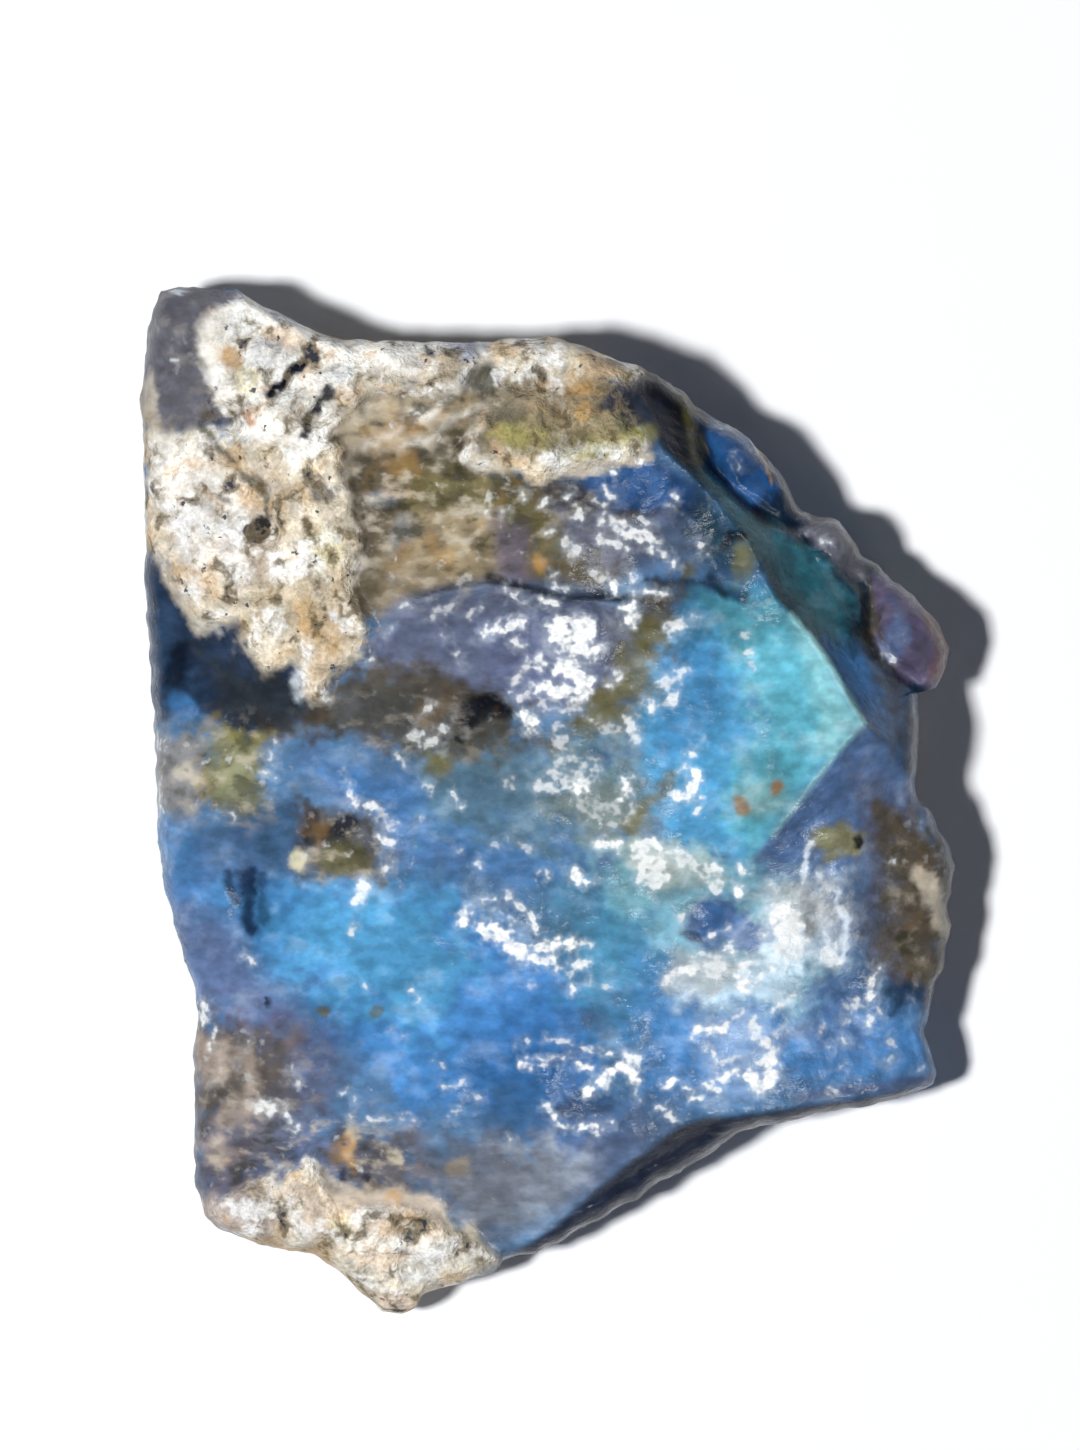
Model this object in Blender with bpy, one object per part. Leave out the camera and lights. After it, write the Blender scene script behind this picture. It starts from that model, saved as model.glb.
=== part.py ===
"""Rough blue opal: one broken chunk, about 57 mm long, lying on its flat underside.

The stone is a single closed solid. Its broken upper face is a surface over the outline, the
rough crust of host rock that grew with it is raised on that face, and the underside is a set of
flat fracture faces that meet a level base. Heights are in millimetres above the surface that
the stone lies on. Places seen from above are pixels of a 1080 x 1450 picture frame, u to the
right and v downwards, which SCALE turns into millimetres.
"""

import math

import bpy
import numpy as np
from mathutils import Vector, noise
from mathutils.geometry import delaunay_2d_cdt

# Driving dimensions, in millimetres
STONE_LENGTH = 57.0
STONE_THICKNESS = 17.0
CRUST_THICKNESS = 0.8
CRUST_EDGE = 1.4
RIM_WIDTH = 1.2
RIM_DROP = 1.4
RIM_WANDER = 1.3
RIM_WANDER_LENGTH = 7.0
RIM_EVENING = 1.5
WALL_LEAST_WIDTH = 0.4
WALL_EXTRA_WIDTH = 2.6
WALL_CHANGE_LENGTH = 11.0
WALL_LEAST_HEIGHT = 1.6
WALL_FLAKE_DEPTH = 2.0
WALL_FLAKE_LENGTH = 6.5
WALL_CHIP_DEPTH = 0.6
WALL_CHIP_LENGTH = 3.0
WALL_CHIP_FLATNESS = 1.7
LEAST_DEPTH = 3.0
SOFTENING = 2.4
ROUGHNESS_HEIGHT = 0.22
ROUGHNESS_LENGTH = 3.2
CRUST_LUMP_HEIGHT = 0.4
CRUST_LUMP_LENGTH = 2.1
FACE_FLAKE_DEPTH = 0.4
FACE_FLAKE_LENGTH = 5.5

# Mesh spacing in millimetres, bands round the edge, and shares of a spacing
TOP_STEP = 0.92
EDGE_STEP = 0.92
UNDERSIDE_STEP = 2.1
RIM_BANDS = 2
WALL_BANDS = 7
GRID_WANDER = 0.22
GRID_WANDER_LENGTH = 1.1
CLEAR_OF_EDGE = 0.6
CLEAR_OF_LINE = 0.55
CLEAR_OF_BASE = 0.5
SAME_PLACE = 1e-5
SHARP_ANGLE = 35.0

# Seeds of the uneven surfaces
CRUST_SEED = 1
FACE_SEED = 2
UNDERSIDE_SEED = 3
RIM_SEED = 4
GRID_SEEDS = (5, 6)
FACE_FLAKE_SEED = 7
WALL_SEED = 8
WALL_FLAKE_SEED = 9
WALL_CHIP_SEED = 10

METRES = 0.001

# The outline seen from above, clockwise from the top left corner
OUTLINE = [
    (160, 290), (180, 287), (237, 289), (257, 303), (315, 331), (344, 341), (375, 342), (448, 344),
    (482, 344), (507, 341), (545, 338), (584, 347), (608, 357), (642, 370), (684, 391), (693, 404),
    (715, 418), (744, 433), (772, 462), (787, 484), (802, 512), (836, 518), (851, 536), (864, 556),
    (891, 575), (926, 609), (941, 626), (950, 648), (946, 671), (936, 688), (919, 690), (918, 707),
    (919, 733), (914, 783), (917, 801), (930, 809), (936, 827), (947, 840), (956, 866), (949, 902),
    (952, 926), (943, 971), (935, 985), (925, 1034), (938, 1073), (935, 1085), (884, 1103),
    (843, 1110), (737, 1132), (719, 1150), (683, 1170), (610, 1215), (535, 1254), (504, 1261),
    (494, 1273), (460, 1286), (422, 1296), (414, 1312), (402, 1316), (380, 1311), (364, 1298),
    (342, 1276), (315, 1256), (270, 1248), (215, 1230), (205, 1217), (193, 1180), (195, 1100),
    (192, 1060), (198, 1020), (192, 980), (172, 920), (160, 870), (157, 820), (155, 760), (148, 660),
    (144, 580), (145, 500), (140, 400), (145, 360), (149, 320),
]
MIDDLE = (548, 801.5)
RADIAL_CENTRE = (550, 800)

# Heights of the upper face where it reaches the outline: u, v, height
RIM_PINS = [
    (165, 288, 8.5), (200, 289, 9.5), (257, 303, 10.0), (344, 341, 11.5), (448, 344, 12.5),
    (545, 338, 13.0), (608, 357, 12.5), (642, 370, 12.0), (693, 404, 10.5), (744, 433, 9.6),
    (787, 484, 9.2), (802, 512, 9.2), (851, 536, 8.8), (891, 575, 8.6), (941, 626, 8.2),
    (946, 671, 7.8), (919, 733, 9.5), (915, 785, 10.5), (947, 840, 8.6), (952, 926, 8.0),
    (929, 1012, 7.5), (938, 1073, 7.0), (884, 1103, 6.0), (782, 1124, 5.5), (719, 1150, 5.0),
    (610, 1215, 5.0), (535, 1254, 5.6), (494, 1273, 6.0), (440, 1290, 5.6), (402, 1316, 5.2),
    (350, 1285, 6.0), (300, 1253, 6.6), (230, 1238, 6.6), (198, 1200, 6.6), (192, 1120, 6.8),
    (198, 1010, 7.6), (172, 920, 7.6), (157, 850, 7.6), (152, 740, 7.2), (145, 620, 7.2),
    (143, 540, 8.6), (141, 440, 8.8), (144, 360, 8.2),
]

# Sharp edges of the upper face, each a line of u, v, height
MAIN_RIDGE = [
    (637, 394, 14.6), (665, 454, 15.4), (712, 499, 15.8), (747, 544, 16.2), (774, 599, 16.6),
    (809, 641, 16.8), (829, 671, 16.9), (859, 723, STONE_THICKNESS),
]
RIGHT_RIDGE = [(859, 723, STONE_THICKNESS), (876, 738, 15.8), (889, 760, 14.0), (912, 783, 11.2)]
LOWER_RIDGE = [
    (859, 723, STONE_THICKNESS), (832, 753, 16.7), (804, 788, 16.3), (769, 833, 15.4),
    (750, 861, 14.9),
]
CUT_EDGE = [
    (508, 1252, 7.6), (545, 1229, 8.8), (591, 1191, 10.2), (634, 1155, 11.2), (678, 1123, 11.8),
    (707, 1113, 12.0), (760, 1109, 11.6), (822, 1099, 10.8), (873, 1093, 9.8), (926, 1081, 8.2),
]
DOME_LEDGE = [(400, 600, 14.2), (440, 588, 14.7), (490, 580, 15.3), (560, 592, 15.7), (640, 600, 15.9)]
SHARP_EDGES = [MAIN_RIDGE, RIGHT_RIDGE, LOWER_RIDGE, CUT_EDGE, DOME_LEDGE]

# Heights inside the outline, by part of the face: u, v, height
CRUST_PINS = [
    (185, 320, 11.0), (165, 352, 9.9), (205, 370, 10.6), (180, 420, 9.9), (250, 350, 12.0),
    (300, 400, 13.0), (230, 440, 11.5), (200, 500, 10.8), (170, 520, 9.8), (270, 500, 12.3),
    (330, 470, 13.2), (400, 400, 13.8), (250, 580, 11.4), (200, 590, 10.3), (320, 560, 12.9),
    (340, 630, 12.9), (300, 640, 12.1), (500, 400, 14.6), (560, 370, 14.4), (600, 430, 15.3),
    (540, 450, 15.1),
]
MIDDLE_PINS = [
    (420, 470, 14.3), (470, 520, 14.7), (400, 560, 14.0), (540, 540, 15.5), (620, 500, 15.7),
    (690, 560, 15.9), (430, 630, 14.3), (500, 640, 15.3), (570, 650, 15.6), (620, 660, 15.3),
    (380, 690, 12.9), (485, 712, 13.7), (570, 730, 14.5), (440, 740, 13.1),
]
LEFT_PINS = [
    (170, 640, 8.6), (230, 660, 10.3), (190, 720, 8.9), (240, 770, 10.2), (300, 720, 11.5),
    (320, 800, 11.7), (370, 850, 12.5), (200, 830, 9.4), (185, 880, 8.9),
]
BRIGHT_FACE_PINS = [
    (655, 640, 15.5), (640, 700, 15.0), (620, 760, 14.5), (700, 640, 15.9), (740, 700, 15.9),
    (700, 780, 15.0), (680, 850, 14.4), (780, 690, 16.3),
]
UPPER_RIGHT_PINS = [
    (690, 430, 12.5), (740, 478, 12.3), (780, 535, 12.5), (820, 600, 12.5), (850, 650, 12.7),
    (884, 706, 12.0),
]
RIGHT_PINS = [
    (860, 800, 14.2), (900, 830, 11.8), (850, 870, 13.1), (900, 900, 11.0), (860, 950, 11.5),
    (800, 900, 13.9), (920, 960, 9.5),
]
LOWER_PINS = [
    (700, 880, 14.4), (650, 900, 14.1), (720, 950, 13.8), (780, 960, 13.1), (850, 1020, 11.0),
    (900, 1040, 9.6), (780, 1030, 12.4), (700, 1040, 12.8), (620, 1000, 13.6), (590, 1080, 12.8),
    (540, 1150, 11.2), (500, 1180, 10.2), (560, 860, 14.4), (600, 900, 14.3), (540, 980, 13.6),
    (480, 900, 13.8), (450, 830, 13.5), (400, 950, 12.9), (480, 1050, 12.6), (400, 1050, 12.0),
    (300, 930, 11.7), (240, 930, 10.4), (210, 970, 9.5), (240, 1010, 9.9),
]
TIP_PINS = [
    (450, 1240, 8.7), (400, 1270, 7.4), (400, 1305, 6.2), (350, 1230, 8.4), (300, 1200, 8.8),
    (250, 1200, 8.2), (220, 1150, 8.1), (260, 1120, 9.4), (230, 1060, 9.2), (300, 1060, 10.8),
    (350, 1120, 10.6), (420, 1150, 11.0),
]
FACE_PINS = (
    CRUST_PINS + MIDDLE_PINS + LEFT_PINS + BRIGHT_FACE_PINS + UPPER_RIGHT_PINS + RIGHT_PINS
    + LOWER_PINS + TIP_PINS
)
GUARD_SCALE = 1.08

# Patches of rough crust raised above the opal
LEFT_CRUST = [
    (140, 280), (240, 280), (340, 330), (470, 336), (480, 360), (462, 392), (420, 400), (372, 398),
    (336, 432), (352, 500), (362, 540), (348, 585), (372, 628), (362, 655), (335, 672), (326, 705),
    (303, 700), (298, 668), (268, 676), (243, 650), (238, 612), (205, 626), (182, 598), (160, 560),
    (136, 540),
]
TOP_CRUST = [
    (492, 330), (545, 325), (600, 345), (648, 372), (628, 400), (650, 448), (632, 465), (575, 470),
    (540, 478), (460, 466), (480, 400),
]
TIP_CRUST = [
    (190, 1200), (260, 1180), (310, 1155), (330, 1195), (400, 1205), (450, 1225), (500, 1262),
    (400, 1330), (340, 1290), (220, 1250),
]
CRUSTS = [LEFT_CRUST, TOP_CRUST, TIP_CRUST]

# Rounded lumps, positive, and scooped breaks, negative: u, v, half width, half height, rise
LUMPS = [
    (838, 545, 34, 26, 1.5), (908, 632, 40, 44, 2.0), (738, 455, 30, 26, 0.9),
    (178, 330, 34, 52, 0.7), (470, 635, 110, 46, 0.5), (573, 640, 52, 40, 0.5),
    (505, 925, 70, 24, 0.45), (835, 838, 34, 24, 0.35), (920, 890, 34, 44, 0.5),
    (375, 842, 46, 38, 0.35), (225, 765, 46, 44, 0.4), (655, 855, 46, 34, 0.35),
]
SCOOPS = [
    (590, 1080, 62, 44, -0.8), (708, 915, 34, 26, -0.6), (745, 690, 90, 70, -0.5),
    (250, 892, 30, 40, -0.45), (485, 712, 40, 32, -0.6), (690, 780, 50, 46, -0.4),
    (780, 580, 46, 56, -0.6), (330, 820, 30, 18, -0.4), (200, 660, 46, 50, -0.5),
    (300, 965, 80, 60, -0.35), (470, 1100, 80, 50, -0.35), (840, 1010, 60, 36, -0.35),
    (660, 495, 46, 34, -0.35), (735, 560, 24, 24, -0.45),
]
PITS = [
    (260, 530, 26, 21, -0.9), (288, 380, 27, 22, -0.8), (317, 415, 22, 24, -0.8),
    (228, 423, 28, 24, -0.8), (412, 1232, 20, 18, -0.7), (408, 1264, 20, 22, -0.6),
    (427, 354, 20, 18, -0.5), (541, 381, 18, 18, -0.5), (330, 492, 26, 20, -0.5),
]
MOUNDS = LUMPS + SCOOPS + PITS

# Open cracks: line, half width in millimetres, depth in millimetres
RIGHT_CRACK = [
    (700, 407), (700, 440), (712, 465), (730, 490), (765, 515), (797, 530), (840, 562), (868, 590),
    (872, 630), (890, 662), (914, 684),
]
CRUST_CRACK = [(205, 435), (225, 448), (250, 478), (270, 505), (275, 535)]
CRACKS = [(RIGHT_CRACK, 0.7, 0.7), (CRUST_CRACK, 0.6, 0.4)]
LEDGE_DROP = 0.6
LEDGE_STEP = 0.4
LEDGE_LENGTH = 1.6
LEDGE_FADE = 2.0

# Flat fracture faces of the underside: direction they face, degrees from +X; distance of their
# edge on the level base from the middle; rise in degrees
UNDERSIDE_FACES = [
    (8, 12.5, 19), (52, 11.5, 15), (98, 15.0, 13), (138, 13.5, 12), (182, 12.0, 20),
    (226, 14.5, 13), (272, 13.5, 10), (318, 11.0, 12),
]
UNDERSIDE_LUMP_HEIGHT = 0.5
UNDERSIDE_LUMP_LENGTH = 7.0
UNDERSIDE_LIFT = 0.3
UNDERSIDE_FADE = 5.0

SCALE = STONE_LENGTH / (max(v for _, v in OUTLINE) - min(v for _, v in OUTLINE))


def place(u, v):
    """Millimetres from the middle of the stone for a place in the picture frame."""
    return ((u - MIDDLE[0]) * SCALE, (MIDDLE[1] - v) * SCALE)


def places(line):
    return np.array([place(point[0], point[1]) for point in line])


CENTRE = np.array(place(*RADIAL_CENTRE))


def ease(value):
    """0 below 0, 1 above 1, with a smooth run between."""
    held = np.clip(value, 0.0, 1.0)
    return held * held * (3.0 - 2.0 * held)


def roughness(points, length, seed):
    """Seeded uneven values of about -1 to 1 that change over the given length."""
    shift = Vector((17.3 * seed, -9.1 * seed, 4.7 * seed))
    values = [noise.fractal(Vector(point) / length + shift, 1.0, 2.1, 3) for point in points]
    return np.array(values)


def flakes(points, length, seed):
    """Shallow bowls that meet along sharp ridges: 0 on the ridges, 1 in the middle of a bowl."""
    shift = Vector((3.7 * seed, 8.3 * seed, -5.9 * seed))
    gaps = [noise.voronoi(Vector(point) / length + shift)[0][0] for point in points]
    return np.clip(1.0 - np.array(gaps) ** 2, 0.0, 1.0)


def with_height(flat, height):
    """Points x, y, z from flat points and one height or one for each."""
    return np.column_stack([flat, np.broadcast_to(height, len(flat))])


def distance_to_line(points, line):
    """Distance from each point to a line of straight stretches."""
    nearest = np.full(len(points), np.inf)
    for start, end in zip(line[:-1], line[1:]):
        stretch = end - start
        along = np.clip((points - start) @ stretch / (stretch @ stretch), 0.0, 1.0)
        gap = np.linalg.norm(points - start - along[:, None] * stretch, axis=1)
        nearest = np.minimum(nearest, gap)
    return nearest


def depth_inside(points, corners):
    """Distance inside a closed outline, negative outside it."""
    inside = np.zeros(len(points), bool)
    for start, end in zip(corners, np.roll(corners, -1, axis=0)):
        spans = (start[1] > points[:, 1]) != (end[1] > points[:, 1])
        rise = end[1] - start[1] if end[1] != start[1] else 1.0
        crossing = start[0] + (points[:, 1] - start[1]) * (end[0] - start[0]) / rise
        inside ^= spans & (points[:, 0] < crossing)
    gap = distance_to_line(points, np.vstack([corners, corners[:1]]))
    return np.where(inside, gap, -gap)


def walked(line, step, closed=False):
    """The line again, with points about one step apart."""
    points = np.array(line, float)
    if closed:
        points = np.vstack([points, points[:1]])
    lengths = np.linalg.norm(np.diff(points, axis=0), axis=1)
    travelled = np.concatenate([[0.0], np.cumsum(lengths)])
    count = max(2, round(travelled[-1] / step))
    stops = np.linspace(0.0, travelled[-1], count + 1)
    if closed:
        stops = stops[:-1]
    return np.column_stack([np.interp(stops, travelled, column) for column in points.T])


def face_cage():
    """The coarse upper face: its pins, and the triangles that join them along the sharp edges."""
    pins = [(*place(u, v), height) for u, v, height in FACE_PINS]
    for u, v, height in RIM_PINS:
        outward = (np.array(place(u, v)) - CENTRE) * GUARD_SCALE + CENTRE
        pins.append((*outward, height))
    edges = []
    for line in SHARP_EDGES:
        first = len(pins)
        pins += [(*place(u, v), height) for u, v, height in line]
        edges += [(index, index + 1) for index in range(first, len(pins) - 1)]
    corners, _, triangles, origins, _, _ = delaunay_2d_cdt(
        [Vector(pin[:2]) for pin in pins], edges, [], 0, SAME_PLACE
    )
    heights = [pins[sources[0]][2] for sources in origins]
    return np.array([tuple(corner) for corner in corners]), np.array(heights), triangles


CAGE = face_cage()
SHARP_PLACES = [places(line) for line in SHARP_EDGES]


def cage_height(points):
    """Height of the coarse face, straight between its pins."""
    corners, heights, triangles = CAGE
    best = np.full(len(points), -np.inf)
    found = np.zeros(len(points))
    for first, second, third in triangles:
        origin = corners[first]
        sides = np.array([corners[second] - origin, corners[third] - origin])
        shares = (points - origin) @ np.linalg.inv(sides)
        rest = 1.0 - shares.sum(axis=1)
        inside = np.minimum(rest, shares.min(axis=1))
        better = inside > best
        best[better] = inside[better]
        level = rest * heights[first] + shares @ heights[[second, third]]
        found[better] = level[better]
    return found


def softened_height(points):
    """The coarse face with its bends rounded, except along the sharp edges."""
    gap = np.min([distance_to_line(points, line) for line in SHARP_PLACES], axis=0)
    reach = np.minimum(SOFTENING, gap)
    total = cage_height(points)
    samples = 1
    for share, count, turn in ((0.5, 6, 0.0), (1.0, 6, 0.5)):
        for index in range(count):
            angle = 2.0 * math.pi * (index + turn) / count
            offset = np.array([math.cos(angle), math.sin(angle)])
            total += cage_height(points + share * reach[:, None] * offset)
            samples += 1
    return total / samples


def crust_depth(points):
    """Distance inside the nearest patch of crust, negative off the crust."""
    return np.max([depth_inside(points, places(patch)) for patch in CRUSTS], axis=0)


def mound_height(points):
    """Sum of the lumps, scoops and pits."""
    total = np.zeros(len(points))
    for u, v, half_width, half_height, rise in MOUNDS:
        offset = (points - place(u, v)) / (half_width * SCALE, half_height * SCALE)
        closeness = np.clip(1.0 - (offset**2).sum(axis=1), 0.0, None)
        total += rise * closeness**1.5
    return total


def crack_depth(points):
    total = np.zeros(len(points))
    for line, half_width, depth in CRACKS:
        total += depth * ease(1.0 - distance_to_line(points, places(line)) / half_width)
    return total


def ledge_depth(points):
    """Drop just below the broken ledge, fading out down the dome."""
    ledge = places(DOME_LEDGE)
    level = np.interp(points[:, 0], ledge[:, 0], ledge[:, 1])
    below = level - points[:, 1]
    from_start = ease((points[:, 0] - ledge[0, 0]) / LEDGE_FADE)
    to_end = ease((ledge[-1, 0] - points[:, 0]) / LEDGE_FADE)
    down = ease(below / LEDGE_STEP) * ease(1.0 - below / LEDGE_LENGTH)
    return LEDGE_DROP * from_start * to_end * down


def top_height(points):
    """Height of the upper face at each flat point."""
    depth = crust_depth(points)
    crust = ease(0.5 + depth / CRUST_EDGE)
    height = softened_height(points) + mound_height(points)
    height -= crack_depth(points) + ledge_depth(points)
    flat = with_height(points, 0.0)
    lumps = CRUST_LUMP_HEIGHT * roughness(flat, CRUST_LUMP_LENGTH, CRUST_SEED)
    height += crust * (CRUST_THICKNESS + lumps)
    waves = ROUGHNESS_HEIGHT * roughness(flat, ROUGHNESS_LENGTH, FACE_SEED)
    bowls = FACE_FLAKE_DEPTH * (0.5 - flakes(flat, FACE_FLAKE_LENGTH, FACE_FLAKE_SEED))
    return height + (1.0 - crust) * (waves + bowls)


def base_corners():
    """Corners of the level base, where the edges of neighbouring underside faces meet."""
    corners = []
    for face, following in zip(UNDERSIDE_FACES, UNDERSIDE_FACES[1:] + UNDERSIDE_FACES[:1]):
        normals = [
            (math.cos(math.radians(angle)), math.sin(math.radians(angle)))
            for angle in (face[0], following[0])
        ]
        corners.append(np.linalg.solve(np.array(normals), np.array([face[1], following[1]])))
    return np.array(corners)


BASE = base_corners()


def underside_height(points, ceiling):
    """Height of the underside, level over the base and well below the upper face."""
    height = np.zeros(len(points))
    for angle, distance, rise in UNDERSIDE_FACES:
        facing = np.array([math.cos(math.radians(angle)), math.sin(math.radians(angle))])
        height = np.maximum(height, (points @ facing - distance) * math.tan(math.radians(rise)))
    away = -depth_inside(points, BASE)
    lumps = roughness(with_height(points, 0.0), UNDERSIDE_LUMP_LENGTH, UNDERSIDE_SEED)
    height += (UNDERSIDE_LIFT + UNDERSIDE_LUMP_HEIGHT * lumps) * ease(away / UNDERSIDE_FADE)
    return np.maximum(0.0, np.minimum(height, ceiling - LEAST_DEPTH))


def inset(points, distance):
    """The points moved towards the middle of the stone by one distance or one for each."""
    offset = CENTRE - points
    share = distance / np.linalg.norm(offset, axis=1)
    return points + offset * share[:, None]


def evened(values, reach):
    """Values round a ring, each the mean of itself and its neighbours."""
    return np.mean([np.roll(values, step) for step in range(-reach, reach + 1)], axis=0)


def grid_inside(corners, step, keep_off):
    """Triangular grid inside a closed outline, kept clear of it and of the given lines."""
    low = corners.min(axis=0)
    high = corners.max(axis=0)
    row_height = step * math.sqrt(3.0) / 2.0
    points = []
    for row in range(math.ceil((high[1] - low[1]) / row_height)):
        shift = 0.5 * step * (row % 2)
        for column in range(math.ceil((high[0] - low[0]) / step) + 1):
            points.append((low[0] + column * step + shift, low[1] + row * row_height))
    points = np.array(points)
    seeds = with_height(points, 0.0)
    wander = [roughness(seeds, GRID_WANDER_LENGTH, seed) for seed in GRID_SEEDS]
    points = points + GRID_WANDER * step * np.column_stack(wander)
    clear = depth_inside(points, corners) > CLEAR_OF_EDGE * step
    for line in keep_off:
        clear &= distance_to_line(points, line) > CLEAR_OF_LINE * step
    return points[clear]


def filled(boundary, inner, lines):
    """Triangles that fill the boundary through the inner points and along the given lines."""
    points = [Vector(point) for point in boundary]
    edges = [(index, (index + 1) % len(boundary)) for index in range(len(boundary))]
    for line, closed in lines:
        first = len(points)
        points += [Vector(point) for point in line]
        edges += [(index, index + 1) for index in range(first, len(points) - 1)]
        if closed:
            edges.append((len(points) - 1, first))
    points += [Vector(point) for point in inner]
    found, _, triangles, _, _, _ = delaunay_2d_cdt(points, edges, [], 1, SAME_PLACE)
    flat = np.array([tuple(point) for point in found])
    return flat, triangles


def rim_levels(rim):
    """Height of the stone's widest line at each point of the outline."""
    seeds = with_height(rim, 0.0)
    level = np.minimum(top_height(inset(rim, RIM_WIDTH)), top_height(rim))
    wander = RIM_WANDER * (0.5 + roughness(seeds, RIM_WANDER_LENGTH, RIM_SEED))
    return evened(level - RIM_DROP - np.maximum(0.0, wander), round(RIM_EVENING / EDGE_STEP))


def wall_ring(rim, rim_level, low_level, turn):
    """One ring of the broken side: turn is 0 at the widest line, 90 degrees at the underside."""
    seeds = with_height(rim, 0.0)
    spread = ease(0.5 + roughness(seeds, WALL_CHANGE_LENGTH, WALL_SEED))
    width = WALL_LEAST_WIDTH + WALL_EXTRA_WIDTH * spread
    level = rim_level + (low_level - rim_level) * math.sin(turn)
    ring = inset(rim, width * (1.0 - math.cos(turn)))
    side = with_height(ring, level * WALL_CHIP_FLATNESS)
    chips = WALL_FLAKE_DEPTH * flakes(side, WALL_FLAKE_LENGTH, WALL_FLAKE_SEED)
    chips += WALL_CHIP_DEPTH * flakes(side, WALL_CHIP_LENGTH, WALL_CHIP_SEED)
    return with_height(inset(ring, chips * math.sin(turn)), level)


def rim_ring(rim, rim_level, turn):
    """One ring of the rounded upper edge: turn is 0 at the widest line, 90 degrees on the face."""
    ring = inset(rim, RIM_WIDTH * (1.0 - math.cos(turn)))
    level = rim_level + (top_height(inset(rim, RIM_WIDTH)) - rim_level) * math.sin(turn)
    return with_height(ring, level)


def turns(bands):
    return [0.5 * math.pi * band / bands for band in range(1, bands + 1)]


class StoneMesh:
    """Vertices and triangles of the stone, gathered ring by ring and cap by cap."""

    def __init__(self, first_ring):
        self.vertices = [tuple(point) for point in first_ring]
        self.faces = []
        self.count = len(first_ring)

    def add_band(self, previous, ring, upward):
        """A band of triangles from the previous ring to a new one, whose numbers it returns."""
        first = len(self.vertices)
        self.vertices.extend(tuple(point) for point in ring)
        current = list(range(first, first + self.count))
        for index in range(self.count):
            following = (index + 1) % self.count
            corners = [previous[index], previous[following], current[following], current[index]]
            if not upward:
                corners.reverse()
            self.faces.append((corners[0], corners[2], corners[1]))
            self.faces.append((corners[0], corners[3], corners[2]))
        return current

    def add_cap(self, edge, flat, triangles, level, upward):
        """A filled face whose first points are the numbered edge ring."""
        numbers = list(edge)
        for point, height in zip(flat[self.count:], level[self.count:]):
            numbers.append(len(self.vertices))
            self.vertices.append((point[0], point[1], height))
        for triangle in triangles:
            corners = [numbers[index] for index in triangle]
            self.faces.append(tuple(corners if upward else reversed(corners)))


def add_upper_face(stone, rim, rim_level):
    """The rounded upper edge and the broken upper face inside it."""
    ring = list(range(stone.count))
    for turn in turns(RIM_BANDS):
        ring = stone.add_band(ring, rim_ring(rim, rim_level, turn), True)
    edge = inset(rim, RIM_WIDTH)
    ridges = []
    for line in SHARP_PLACES:
        points = walked(line, TOP_STEP)
        ridges.append(points[depth_inside(points, edge) > CLEAR_OF_LINE * TOP_STEP])
    inner = grid_inside(edge, TOP_STEP, ridges)
    flat, triangles = filled(edge, inner, [(line, False) for line in ridges])
    stone.add_cap(ring, flat, triangles, top_height(flat), True)


def add_underside(stone, rim, rim_level):
    """The broken side and the underside with its level base."""
    ring = list(range(stone.count))
    low_edge = inset(rim, WALL_LEAST_WIDTH + WALL_EXTRA_WIDTH)
    low_level = underside_height(low_edge, top_height(low_edge))
    low_level = evened(np.minimum(low_level, rim_level - WALL_LEAST_HEIGHT), 2)
    for turn in turns(WALL_BANDS):
        points = wall_ring(rim, rim_level, low_level, turn)
        ring = stone.add_band(ring, points, False)
    edge = points[:, :2]
    inner = grid_inside(edge, UNDERSIDE_STEP, [])
    inner = inner[depth_inside(inner, BASE) < -CLEAR_OF_BASE * UNDERSIDE_STEP]
    flat, triangles = filled(edge, inner, [(BASE, True)])
    level = underside_height(flat, top_height(flat))
    level[depth_inside(flat, BASE) > -SAME_PLACE] = 0.0
    stone.add_cap(ring, flat, triangles, level, False)


def stone_mesh():
    """Vertices and triangles of the whole stone, in millimetres."""
    rim = walked(places(OUTLINE), EDGE_STEP, closed=True)
    rim_level = rim_levels(rim)
    stone = StoneMesh(with_height(rim, rim_level))
    add_upper_face(stone, rim, rim_level)
    add_underside(stone, rim, rim_level)
    return np.array(stone.vertices), stone.faces


def opal_material():
    material = bpy.data.materials.new("rough_opal")
    material.use_nodes = True
    shader = material.node_tree.nodes["Principled BSDF"]
    shader.inputs["Base Color"].default_value = (0.13, 0.30, 0.50, 1.0)
    shader.inputs["Roughness"].default_value = 0.3
    shader.inputs["Metallic"].default_value = 0.0
    return material


def build_stone():
    vertices, faces = stone_mesh()
    mesh = bpy.data.meshes.new("rough_opal")
    mesh.from_pydata((vertices * METRES).tolist(), [], faces)
    mesh.validate()
    mesh.shade_smooth()
    mesh.set_sharp_from_angle(angle=math.radians(SHARP_ANGLE))
    mesh.materials.append(opal_material())
    stone = bpy.data.objects.new("rough_opal", mesh)
    bpy.context.scene.collection.objects.link(stone)
    return stone


for leftover in list(bpy.data.objects):
    bpy.data.objects.remove(leftover, do_unlink=True)
build_stone()
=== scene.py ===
"""The rough blue opal dressed: a finer surface in place of the CAD solid, painted zone by zone.

The stone's form is worked out as in the part's source, from the same named values, with smaller
steps and finer relief. Heights and lengths are in millimetres. Places seen from above are pixels
of a 1080 x 1450 picture frame, u to the right and v downwards. Colours are written as sRGB.
"""

import math

import bpy
import numpy as np
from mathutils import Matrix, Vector, noise
from mathutils.geometry import delaunay_2d_cdt


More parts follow.
